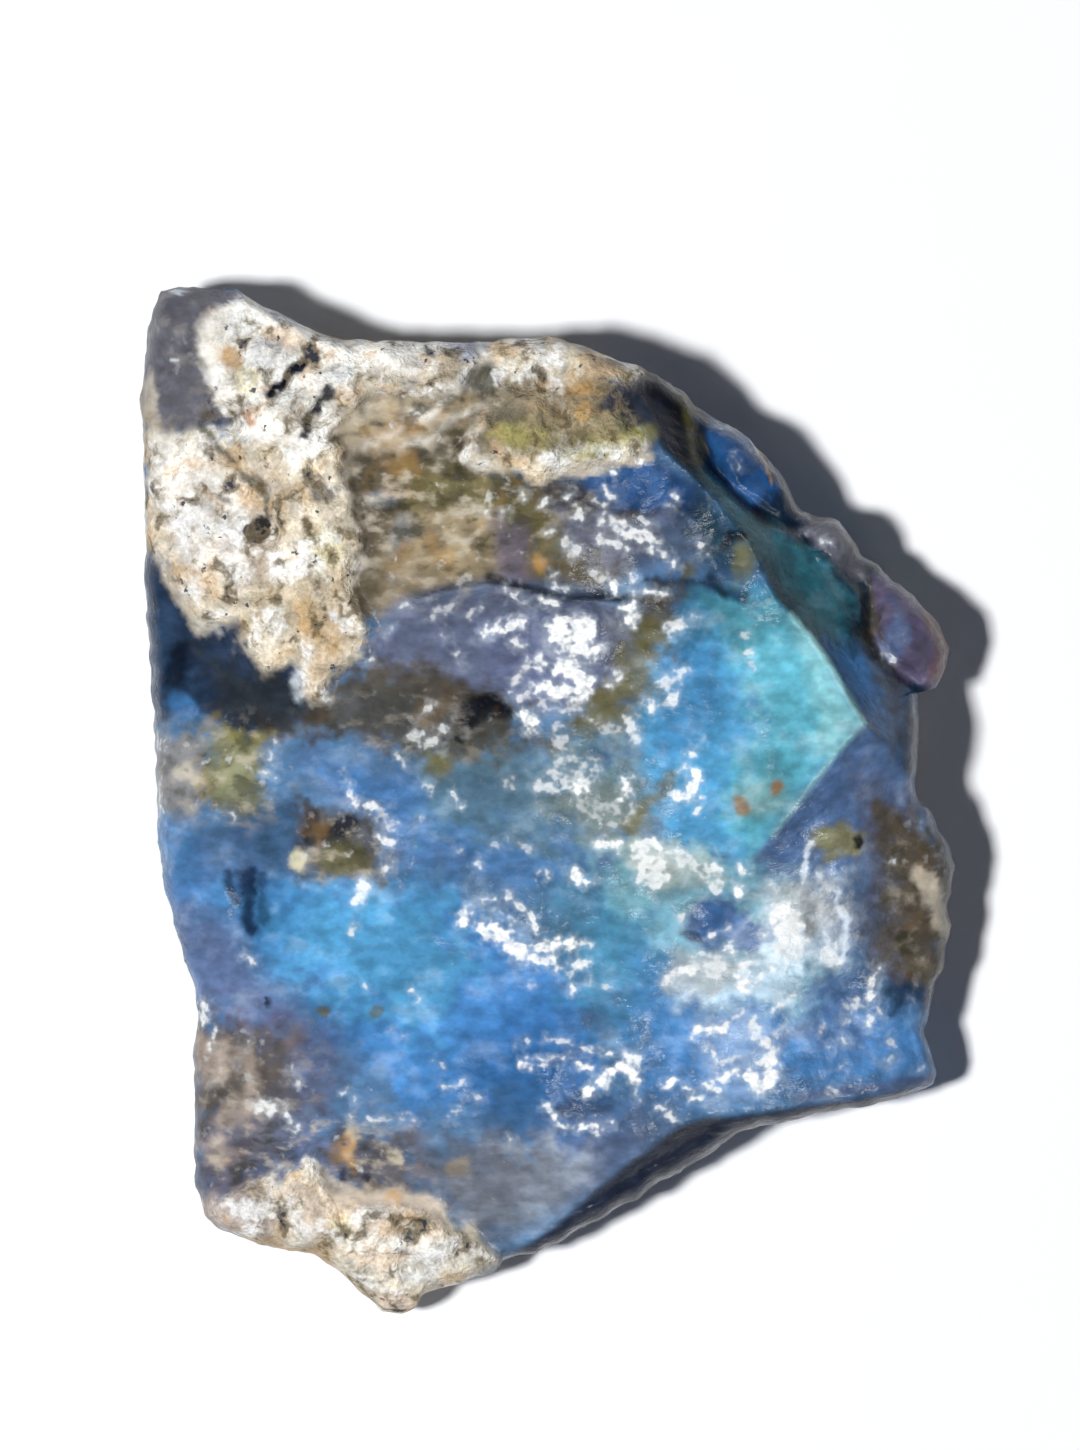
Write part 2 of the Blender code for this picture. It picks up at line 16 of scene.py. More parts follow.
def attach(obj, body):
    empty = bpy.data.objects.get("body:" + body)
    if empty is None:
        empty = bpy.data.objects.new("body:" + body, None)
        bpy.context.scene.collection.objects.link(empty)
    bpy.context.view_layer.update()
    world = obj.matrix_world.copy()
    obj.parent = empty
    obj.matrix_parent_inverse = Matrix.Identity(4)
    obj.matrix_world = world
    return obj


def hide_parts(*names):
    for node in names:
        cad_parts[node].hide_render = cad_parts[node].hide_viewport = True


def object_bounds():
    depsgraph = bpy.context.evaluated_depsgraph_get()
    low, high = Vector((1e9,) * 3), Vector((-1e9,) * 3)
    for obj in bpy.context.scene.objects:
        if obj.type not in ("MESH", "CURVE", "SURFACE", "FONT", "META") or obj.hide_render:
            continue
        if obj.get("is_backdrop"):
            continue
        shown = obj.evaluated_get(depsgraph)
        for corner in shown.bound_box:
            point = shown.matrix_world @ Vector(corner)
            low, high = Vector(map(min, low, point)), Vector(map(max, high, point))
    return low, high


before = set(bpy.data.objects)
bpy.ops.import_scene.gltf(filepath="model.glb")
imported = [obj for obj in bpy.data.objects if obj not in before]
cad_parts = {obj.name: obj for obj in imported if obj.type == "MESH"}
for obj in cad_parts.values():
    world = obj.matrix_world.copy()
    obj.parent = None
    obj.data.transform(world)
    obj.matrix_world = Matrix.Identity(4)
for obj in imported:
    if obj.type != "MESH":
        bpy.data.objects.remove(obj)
CAD_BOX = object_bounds()

# Driving dimensions, in millimetres, as in the part's source
STONE_LENGTH = 57.0
STONE_THICKNESS = 17.0
CRUST_THICKNESS = 0.8
CRUST_EDGE = 1.4
RIM_WIDTH = 1.2
RIM_DROP = 1.4
RIM_WANDER = 1.3
RIM_WANDER_LENGTH = 7.0
RIM_EVENING = 1.5
WALL_LEAST_WIDTH = 0.4
WALL_EXTRA_WIDTH = 2.6
WALL_CHANGE_LENGTH = 11.0
WALL_LEAST_HEIGHT = 1.6
WALL_FLAKE_DEPTH = 2.0
WALL_FLAKE_LENGTH = 6.5
WALL_CHIP_DEPTH = 0.6
WALL_CHIP_LENGTH = 3.0
WALL_CHIP_FLATNESS = 1.7
LEAST_DEPTH = 3.0
SOFTENING = 2.4
ROUGHNESS_HEIGHT = 0.22
ROUGHNESS_LENGTH = 3.2
CRUST_LUMP_HEIGHT = 0.4
CRUST_LUMP_LENGTH = 2.1
FACE_FLAKE_DEPTH = 0.4
FACE_FLAKE_LENGTH = 5.5

# Fine relief, in millimetres
CRUST_GRAINS = [(1.5, 0.26), (0.7, 0.17), (0.4, 0.08)]
HOST_GRAINS = [(1.5, 0.16), (0.6, 0.07)]
OPAL_RIPPLES = [(1.5, 0.05)]
RIPPLE_SPACING = 0.62
RIPPLE_HEIGHT = 0.02
RIPPLE_WOBBLE = 0.5
RIPPLE_WOBBLE_LENGTH = 2.5
CHIP_SIZES = [(1.6, 0.16), (0.7, 0.08)]
RIPPLE_FADE = 2.0
SIDE_GRAINS = [(1.5, 0.28), (0.6, 0.10)]
BASE_FADE = 2.0
BASE_ROUGHNESS = 0.25
LOW_EVENING = 3.0
RIM_RAGGED_LENGTH = 1.1
RIM_RAGGED = 0.16

# Mesh spacing in millimetres, bands round the edge, and shares of a spacing
QUICK = 1.0
TOP_STEP = 0.185 * QUICK
EDGE_STEP = 0.27 * QUICK
UNDERSIDE_STEP = 0.5 * QUICK
RIM_BANDS = 8
WALL_BANDS = 26
GRID_WANDER = 0.22
GRID_WANDER_LENGTH = 1.1
CLEAR_OF_EDGE = 0.6
CLEAR_OF_LINE = 0.55
SAME_PLACE = 1e-5

# Noise and shaping shared by all surfaces
NOISE_STRIDE = (17.3, -9.1, 4.7)
FLAKE_STRIDE = (3.7, 8.3, -5.9)
NOISE_FALL = 1.0
NOISE_GROWTH = 2.1
NOISE_LAYERS = 3
SOFTENING_RINGS = ((0.5, 6, 0.0), (1.0, 6, 0.5))
MOUND_POWER = 1.5
AREA_EDGE = 1.5
SPOT_MARGIN = 2.0

# Seeds of the uneven surfaces
CRUST_SEED = 1
FACE_SEED = 2
UNDERSIDE_SEED = 3
RIM_SEED = 4
GRID_SEEDS = (5, 6)
FACE_FLAKE_SEED = 7
WALL_SEED = 8
WALL_FLAKE_SEED = 9
WALL_CHIP_SEED = 10
CRUST_GRAIN_SEED = 20
HOST_GRAIN_SEED = 23
RIPPLE_SEED = 26
CHIP_SEED = 29
RAGGED_SEED = 30
WOBBLE_SEED = 32
SIDE_SEED = 35
WARP_SEEDS = (40, 41)
PATCH_SEED = 50
STAIN_SEED = 51
FRAY_SEED = 54

METRES = 0.001

# Uneven edges of the colour zones, as length and reach in millimetres, and the unseen side
ZONE_WARPS = [(3.0, 0.5), (1.0, 0.2)]
FRAY_SIZES = [(1.3, 0.5), (0.5, 0.3)]
SIDE_WARPS = [(6.0, 2.4), (2.0, 0.8)]
SIDE_REACH = 6.0
SIDE_INSET = 2.5
CRUST_PAINT_EDGE = 0.7
UNDER_START = 4.0
UNDER_REACH = 6.0
UNDER_PATCH_LENGTH = 12.0
UNDER_PATCH_CONTRAST = 1.6
UNDER_STAIN_LENGTH = 6.0
UNDER_STAIN_START = 0.3
UNDER_STAIN_CONTRAST = 1.8
UNDER_STAIN_SHARE = 0.6
UNDER_HOST_SHARE = 0.5

# How far a glint's glow reaches, in pixels, its fullest depth and its ragged edge
GLINT_REACH = 10.0
GLINT_FULL = 0.55
GLINT_RAGGED = 2.2

# Looks of the material
OPAL_IOR = 1.45
OPAL_SPECULAR = 0.12
BUMP_HEIGHT = 0.5
OPAL_SHADE = 0.72
HOST_SHADE = 0.85
BRIGHT_SHADE = 1.0
CRUST_SHADE = 1.04
HOST_ROUGHNESS = 0.55
CRUST_ROUGHNESS = 0.85
RIDGE_STILLNESS = 2.0

# Noise layers of the material: length in millimetres, detail, stretch, turn in degrees
BROAD_CLOUD = (5.0, 4.0, (0.7, 1.3, 1.0), 15.0)
HAZE_CLOUD = (1.8, 4.0, (0.9, 1.1, 1.0), -20.0)
WISP_CLOUD = (0.8, 7.0, (0.8, 1.2, 1.0), -10.0)
FLECK_CLOUD = (1.1, 7.0, (0.75, 1.25, 1.0), -8.0)
FACET_CLOUD = (0.35, 2.0, (0.8, 1.2, 1.0), 35.0)
LIT_CLOUD = (0.9, 5.0)
STAIN_CLOUD = (3.0, 3.0)
CHALK_CLOUD = (0.5, 4.0)
DUST_CLOUD = (2.0, 6.0)
CRUST_CLOUD = (3.2, 2.0)
HOLLOW_CLOUD = (1.6, 5.0)
CRUMB_CLOUD = (0.25, 4.0)
SPECK_CLOUD = (0.7, 3.0)
CHIP_CLOUD = (2.2, 2.0)
GLINT_CLOUD = (0.5, 1.4)
EDGE_CLOUD = (0.6, 3.0)
GLOSS_CLOUD = (1.4, 3.0)
GRIT_CLOUD = (0.18, 3.0)
RIPPLE_CLOUD = (0.5, 2.0)
HOLLOW_BLOBS = (0.9, 0.5)
CHIP_BLOBS = (1.3, 0.6)

# Ramps of the material: the range a value is moved from, then the one it is moved to if not 0 to 1
BROAD_RAMP = (0.32, 0.68, 0.82, 1.18)
HAZE_RAMP = (0.30, 0.70, 0.86, 1.15)
WISP_RAMP = (0.30, 0.70, 0.80, 1.20)
MILKY_PALENESS = (0.04, 0.3)
MILKY_HAZE = (0.5, 0.72, 0.0, 0.2)
# Painted shade on the host rock's low grains and painted light on its high ones
ROCK_GRAIN_SHADE = (-0.6, 0.6, 0.55, 1.45)
ROCK_CREAM = (0.50, 0.70, 0.0, 0.7)
ROCK_DARK = (0.49, 0.33, 0.0, 0.75)
ROCK_STAIN = (0.58, 0.70, 0.0, 0.35)
ROCK_LIT = (0.60, 0.74, 0.0, 0.6)
# Painted shade on the crust's low grains and painted light on its high ones
CHALK_GRAIN_SHADE = (-0.4, 0.4, 0.72, 1.25)
CLEAN_PALENESS = (0.12, 0.45)
DUST_WHITE = (0.50, 0.63, 0.0, 0.8)
DUST_YELLOW = (0.46, 0.36, 0.0, 0.4)
CRUST_RAMP = (0.35, 0.65, 0.86, 1.12)
CRUMB_RAMP = (0.3, 0.7, 0.84, 1.12)
SPECK_RAMP = (0.66, 0.72, 0.0, 0.9)
CHIP_REACH = (0.38, 0.65, 0.0, 0.6)
CHIP_GLOW = (-0.4, 0.10, 0.0, 0.5)
CHIP_CORE = (0.0, 0.3, 0.0, 0.9)
FACET_RAMP = (0.34, 0.52, 0.7, 1.0)
GLINT_CORE = (0.0, 0.52)
GLINT_HALO = (-0.7, 0.4, 0.0, 0.26)
BRIGHT_RAMP = (0.55, 1.05)
GLOSS_RAMP = (0.3, 0.7, 0.20, 0.40)

# Painted shade in the hollows of the crust, along with its own browns: each a colour and its ramp, and what
# makes them deeper or shallower
HOLLOW_SHADES = (
    ("tan", 1.30, 1.50, 0.0, 0.3),
    ("host brown", 1.46, 1.76, 0.0, 0.75),
    ("charcoal", 1.78, 1.98, 0.0, 0.9),
)
HOLLOW_UNEVENNESS = 1.6
HOLLOW_SHADE_GRAINS = -0.35
EDGE_UNEVENNESS = 0.7

# Height of the finest relief, as shares of the bump height
CHALK_RELIEF = 0.5
GRIT_RELIEF = 0.25
WISP_RELIEF = 0.25
RIPPLE_RELIEF = 0.1
FLECK_RELIEF = 0.5

# Floor, lights and camera, in metres and watts; directions point from the stone to the light
FLOOR_SIZE = 3.0
FLOOR_COLOUR = "#f4f5f7"
FLOOR_ROUGHNESS = 0.9
WORLD_COLOUR = "#8fb0f0"
WORLD_STRENGTH = 0.04
KEY_DIRECTION = (-0.285, -0.05, 0.956)
KEY_DISTANCE = 1.2
KEY_SIZE = 0.09
KEY_POWER = 16.0
GLINT_DIRECTIONS = [(0.43, -0.52, 0.74), (0.20, 0.20, 0.96)]
GLINT_DISTANCE = 1.0
GLINT_SIZE = 0.10
GLINT_POWER = 10.0
FILL_TURNS = (20, 110, 200, 290)
FILL_RISE = 6
FILL_DISTANCE = 1.0
FILL_SIZE = 0.4
FILL_POWER = 0.35
SENSOR = 36.0
FRAME_WIDTH = 1080.0
FRAME_HEIGHT = 1450.0
CAMERA_HEIGHT = 1.0
CAMERA_FOCUS = 0.008
NEAREST_SEEN = 0.1
FURTHEST_SEEN = 10.0

# The outline seen from above, clockwise from the top left corner
OUTLINE = [
    (160, 290), (180, 287), (237, 289), (257, 303), (315, 331), (344, 341), (375, 342), (448, 344),
    (482, 344), (507, 341), (545, 338), (584, 347), (608, 357), (642, 370), (684, 391), (693, 404),
    (715, 418), (744, 433), (772, 462), (787, 484), (802, 512), (836, 518), (851, 536), (864, 556),
    (891, 575), (926, 609), (941, 626), (950, 648), (946, 671), (936, 688), (919, 690), (918, 707),
    (919, 733), (914, 783), (917, 801), (930, 809), (936, 827), (947, 840), (956, 866), (949, 902),
    (952, 926), (943, 971), (935, 985), (925, 1034), (938, 1073), (935, 1085), (884, 1103),
    (843, 1110), (737, 1132), (719, 1150), (683, 1170), (610, 1215), (535, 1254), (504, 1261),
    (494, 1273), (460, 1286), (422, 1296), (414, 1312), (402, 1316), (380, 1311), (364, 1298),
    (342, 1276), (315, 1256), (270, 1248), (215, 1230), (205, 1217), (193, 1180), (195, 1100),
    (192, 1060), (198, 1020), (192, 980), (172, 920), (160, 870), (157, 820), (155, 760), (148, 660),
    (144, 580), (145, 500), (140, 400), (145, 360), (149, 320),
]
MIDDLE = (548, 801.5)
RADIAL_CENTRE = (550, 800)

# Heights of the upper face where it reaches the outline: u, v, height
RIM_PINS = [
    (165, 288, 8.5), (200, 289, 9.5), (257, 303, 10.0), (344, 341, 11.5), (448, 344, 12.5),
    (545, 338, 13.0), (608, 357, 12.5), (642, 370, 12.0), (693, 404, 10.5), (744, 433, 9.6),
    (787, 484, 9.2), (802, 512, 9.2), (851, 536, 8.8), (891, 575, 8.6), (941, 626, 8.2),
    (946, 671, 7.8), (919, 733, 9.5), (915, 785, 10.5), (947, 840, 8.6), (952, 926, 8.0),
    (929, 1012, 7.5), (938, 1073, 7.0), (884, 1103, 6.0), (782, 1124, 5.5), (719, 1150, 5.0),
    (610, 1215, 5.0), (535, 1254, 5.6), (494, 1273, 6.0), (440, 1290, 5.6), (402, 1316, 5.2),
    (350, 1285, 6.0), (300, 1253, 6.6), (230, 1238, 6.6), (198, 1200, 6.6), (192, 1120, 6.8),
    (198, 1010, 7.6), (172, 920, 7.6), (157, 850, 7.6), (152, 740, 7.2), (145, 620, 7.2),
    (143, 540, 8.6), (141, 440, 8.8), (144, 360, 8.2),
]

# Sharp edges of the upper face, each a line of u, v, height
MAIN_RIDGE = [
    (637, 394, 14.6), (665, 454, 15.4), (712, 499, 15.8), (747, 544, 16.2), (774, 599, 16.6),
    (809, 641, 16.8), (829, 671, 16.9), (859, 723, STONE_THICKNESS),
]
RIGHT_RIDGE = [(859, 723, STONE_THICKNESS), (876, 738, 15.8), (889, 760, 14.0), (912, 783, 11.2)]
LOWER_RIDGE = [
    (859, 723, STONE_THICKNESS), (832, 753, 16.7), (804, 788, 16.3), (769, 833, 15.4),
    (750, 861, 14.9),
]
CUT_EDGE = [
    (508, 1252, 7.6), (545, 1229, 8.8), (591, 1191, 10.2), (634, 1155, 11.2), (678, 1123, 11.8),
    (707, 1113, 12.0), (760, 1109, 11.6), (822, 1099, 10.8), (873, 1093, 9.8), (926, 1081, 8.2),
]
DOME_LEDGE = [(400, 600, 14.2), (440, 588, 14.7), (490, 580, 15.3), (560, 592, 15.7), (640, 600, 15.9)]
SHARP_EDGES = [MAIN_RIDGE, RIGHT_RIDGE, LOWER_RIDGE, CUT_EDGE, DOME_LEDGE]

# Heights inside the outline, by part of the face: u, v, height
CRUST_PINS = [
    (185, 320, 11.0), (165, 352, 9.9), (205, 370, 10.6), (180, 420, 9.9), (250, 350, 12.0),
    (300, 400, 13.0), (230, 440, 11.5), (200, 500, 10.8), (170, 520, 9.8), (270, 500, 12.3),
    (330, 470, 13.2), (400, 400, 13.8), (250, 580, 11.4), (200, 590, 10.3), (320, 560, 12.9),
    (340, 630, 12.9), (300, 640, 12.1), (500, 400, 14.6), (560, 370, 14.4), (600, 430, 15.3),
    (540, 450, 15.1),
]
MIDDLE_PINS = [
    (420, 470, 14.3), (470, 520, 14.7), (400, 560, 14.0), (540, 540, 15.5), (620, 500, 15.7),
    (690, 560, 15.9), (430, 630, 14.3), (500, 640, 15.3), (570, 650, 15.6), (620, 660, 15.3),
    (380, 690, 12.9), (485, 712, 13.7), (570, 730, 14.5), (440, 740, 13.1),
]
LEFT_PINS = [
    (170, 640, 8.6), (230, 660, 10.3), (190, 720, 8.9), (240, 770, 10.2), (300, 720, 11.5),
    (320, 800, 11.7), (370, 850, 12.5), (200, 830, 9.4), (185, 880, 8.9),
]
BRIGHT_FACE_PINS = [
    (655, 640, 15.5), (640, 700, 15.0), (620, 760, 14.5), (700, 640, 15.9), (740, 700, 15.9),
    (700, 780, 15.0), (680, 850, 14.4), (780, 690, 16.3),
]
UPPER_RIGHT_PINS = [
    (690, 430, 12.5), (740, 478, 12.3), (780, 535, 12.5), (820, 600, 12.5), (850, 650, 12.7),
    (884, 706, 12.0),
]
RIGHT_PINS = [
    (860, 800, 14.2), (900, 830, 11.8), (850, 870, 13.1), (900, 900, 11.0), (860, 950, 11.5),
    (800, 900, 13.9), (920, 960, 9.5),
]
LOWER_PINS = [
    (700, 880, 14.4), (650, 900, 14.1), (720, 950, 13.8), (780, 960, 13.1), (850, 1020, 11.0),
    (900, 1040, 9.6), (780, 1030, 12.4), (700, 1040, 12.8), (620, 1000, 13.6), (590, 1080, 12.8),
    (540, 1150, 11.2), (500, 1180, 10.2), (560, 860, 14.4), (600, 900, 14.3), (540, 980, 13.6),
    (480, 900, 13.8), (450, 830, 13.5), (400, 950, 12.9), (480, 1050, 12.6), (400, 1050, 12.0),
    (300, 930, 11.7), (240, 930, 10.4), (210, 970, 9.5), (240, 1010, 9.9),
]
TIP_PINS = [
    (450, 1240, 8.7), (400, 1270, 7.4), (400, 1305, 6.2), (350, 1230, 8.4), (300, 1200, 8.8),
    (250, 1200, 8.2), (220, 1150, 8.1), (260, 1120, 9.4), (230, 1060, 9.2), (300, 1060, 10.8),
    (350, 1120, 10.6), (420, 1150, 11.0),
]
FACE_PINS = (
    CRUST_PINS + MIDDLE_PINS + LEFT_PINS + BRIGHT_FACE_PINS + UPPER_RIGHT_PINS + RIGHT_PINS
    + LOWER_PINS + TIP_PINS
)
GUARD_SCALE = 1.08

# Patches of rough crust raised above the opal
LEFT_CRUST = [
    (140, 280), (240, 280), (340, 330), (470, 336), (480, 360), (462, 392), (420, 400), (372, 398),
    (336, 432), (352, 500), (362, 540), (348, 585), (372, 628), (362, 655), (335, 672), (326, 705),
    (303, 700), (298, 668), (268, 676), (243, 650), (238, 612), (205, 626), (182, 598), (160, 560),
    (136, 540),
]
TOP_CRUST = [
    (492, 330), (545, 325), (600, 345), (648, 372), (628, 400), (650, 448), (632, 465), (575, 470),
    (540, 478), (460, 466), (480, 400),
]
TIP_CRUST = [
    (190, 1200), (260, 1180), (310, 1155), (330, 1195), (400, 1205), (450, 1225), (500, 1262),
    (400, 1330), (340, 1290), (220, 1250),
]
CRUSTS = [LEFT_CRUST, TOP_CRUST, TIP_CRUST]

# Rounded lumps, positive, and scooped breaks, negative: u, v, half width, half height, rise
LUMPS = [
    (838, 545, 34, 26, 1.5), (908, 632, 40, 44, 2.0), (738, 455, 30, 26, 0.9),
    (178, 330, 34, 52, 0.7), (470, 635, 110, 46, 0.5), (573, 640, 52, 40, 0.5),
    (505, 925, 70, 24, 0.45), (835, 838, 34, 24, 0.35), (920, 890, 34, 44, 0.5),
    (375, 842, 46, 38, 0.35), (225, 765, 46, 44, 0.4), (655, 855, 46, 34, 0.35),
]
SCOOPS = [
    (590, 1080, 62, 44, -0.8), (708, 915, 34, 26, -0.6), (745, 690, 90, 70, -0.5),
    (250, 892, 30, 40, -0.45), (485, 712, 40, 32, -0.6), (690, 780, 50, 46, -0.4),
    (780, 580, 46, 56, -0.6), (330, 820, 30, 18, -0.4), (200, 660, 46, 50, -0.5),
    (300, 965, 80, 60, -0.35), (470, 1100, 80, 50, -0.35), (840, 1010, 60, 36, -0.35),
    (660, 495, 46, 34, -0.35), (735, 560, 24, 24, -0.45),
]
PITS = [
    (260, 530, 26, 21, -0.9), (288, 380, 27, 22, -0.8), (317, 415, 22, 24, -0.8),
    (228, 423, 28, 24, -0.8), (412, 1232, 20, 18, -0.7), (408, 1264, 20, 22, -0.6),
    (427, 354, 20, 18, -0.5), (541, 381, 18, 18, -0.5), (330, 492, 26, 20, -0.5),
]
MOUNDS = LUMPS + SCOOPS + PITS

# Open cracks: line, half width in millimetres, depth in millimetres
RIGHT_CRACK = [
    (700, 407), (700, 440), (712, 465), (730, 490), (765, 515), (797, 530), (840, 562), (868, 590),
    (872, 630), (890, 662), (914, 684),
]
CRUST_CRACK = [(205, 435), (225, 448), (250, 478), (270, 505), (275, 535)]
CRACKS = [(RIGHT_CRACK, 0.7, 0.7), (CRUST_CRACK, 0.6, 0.4)]
LEDGE_DROP = 0.6
LEDGE_STEP = 0.4
LEDGE_LENGTH = 1.6
LEDGE_FADE = 2.0

# Flat fracture faces of the underside: direction they face, degrees from +X; distance of their
# edge on the level base from the middle; rise in degrees
UNDERSIDE_FACES = [
    (8, 12.5, 19), (52, 11.5, 15), (98, 15.0, 13), (138, 13.5, 12), (182, 12.0, 20),
    (226, 14.5, 13), (272, 13.5, 10), (318, 11.0, 12),
]
UNDERSIDE_LUMP_HEIGHT = 0.5
UNDERSIDE_LUMP_LENGTH = 7.0
UNDERSIDE_LIFT = 0.3
UNDERSIDE_FADE = 5.0



def table(text):
    """Rows of a text table, cut at line ends and bars: a colour, numbers, points after a colon."""
    rows = []
    for row in text.replace(",\n", ",").replace("|", "\n").splitlines():
        values, _, line = row.partition(":")
        words = values.split()
        if not words or row.startswith("#"):
            continue
        name = " ".join(word for word in words if word.isalpha())
        numbers = [float(word) for word in words if not word.isalpha()]
        points = [np.array(line.replace(",", " ").split(), float).reshape(-1, 2)] if line else []
        rows.append(([name] if name else []) + numbers + points)
    return rows


# Colours of the stone's zones
PALETTE = {
    "black": "#0b0f1c",
    "navy": "#14203c",
    "dark teal": "#14424f",
    "teal": "#3f8a9a",
    "deep blue": "#2f66a6",
    "blue": "#5495d8",
    "sky": "#5fb0e2",
    "cyan": "#74cfe0",
    "pale cyan": "#a6e6ea",
    "steel": "#5c86b0",
    "sea grey": "#6b8d98",
    "slate": "#6d7590",
    "slate blue": "#5b7cac",
    "lavender": "#7f8bb8",
    "violet": "#6d6584",
    "mauve": "#77707c",
    "knob": "#6c6c76",
    "host brown": "#5f5238",
    "olive": "#777044",
    "moss": "#9a9458",
    "tan": "#a8977a",
    "ochre": "#c99a54",
    "rust": "#a5682f",
    "cream": "#ddd2bd",
    "pink cream": "#dcc8b8",
    "pale yellow": "#ebe2b8",
    "white": "#f7f8f6",
    "cool white": "#e6f1fb",
    "grey": "#9aa3ae",
    "charcoal": "#272f42",
    "dark olive": "#3a3a2c",
}

# Colours that stand for light caught by broken facets: painted highlights at full brightness on opal and
# host rock; on the crust white is its chalk
BRIGHT_COLOURS = ("white", "cool white")
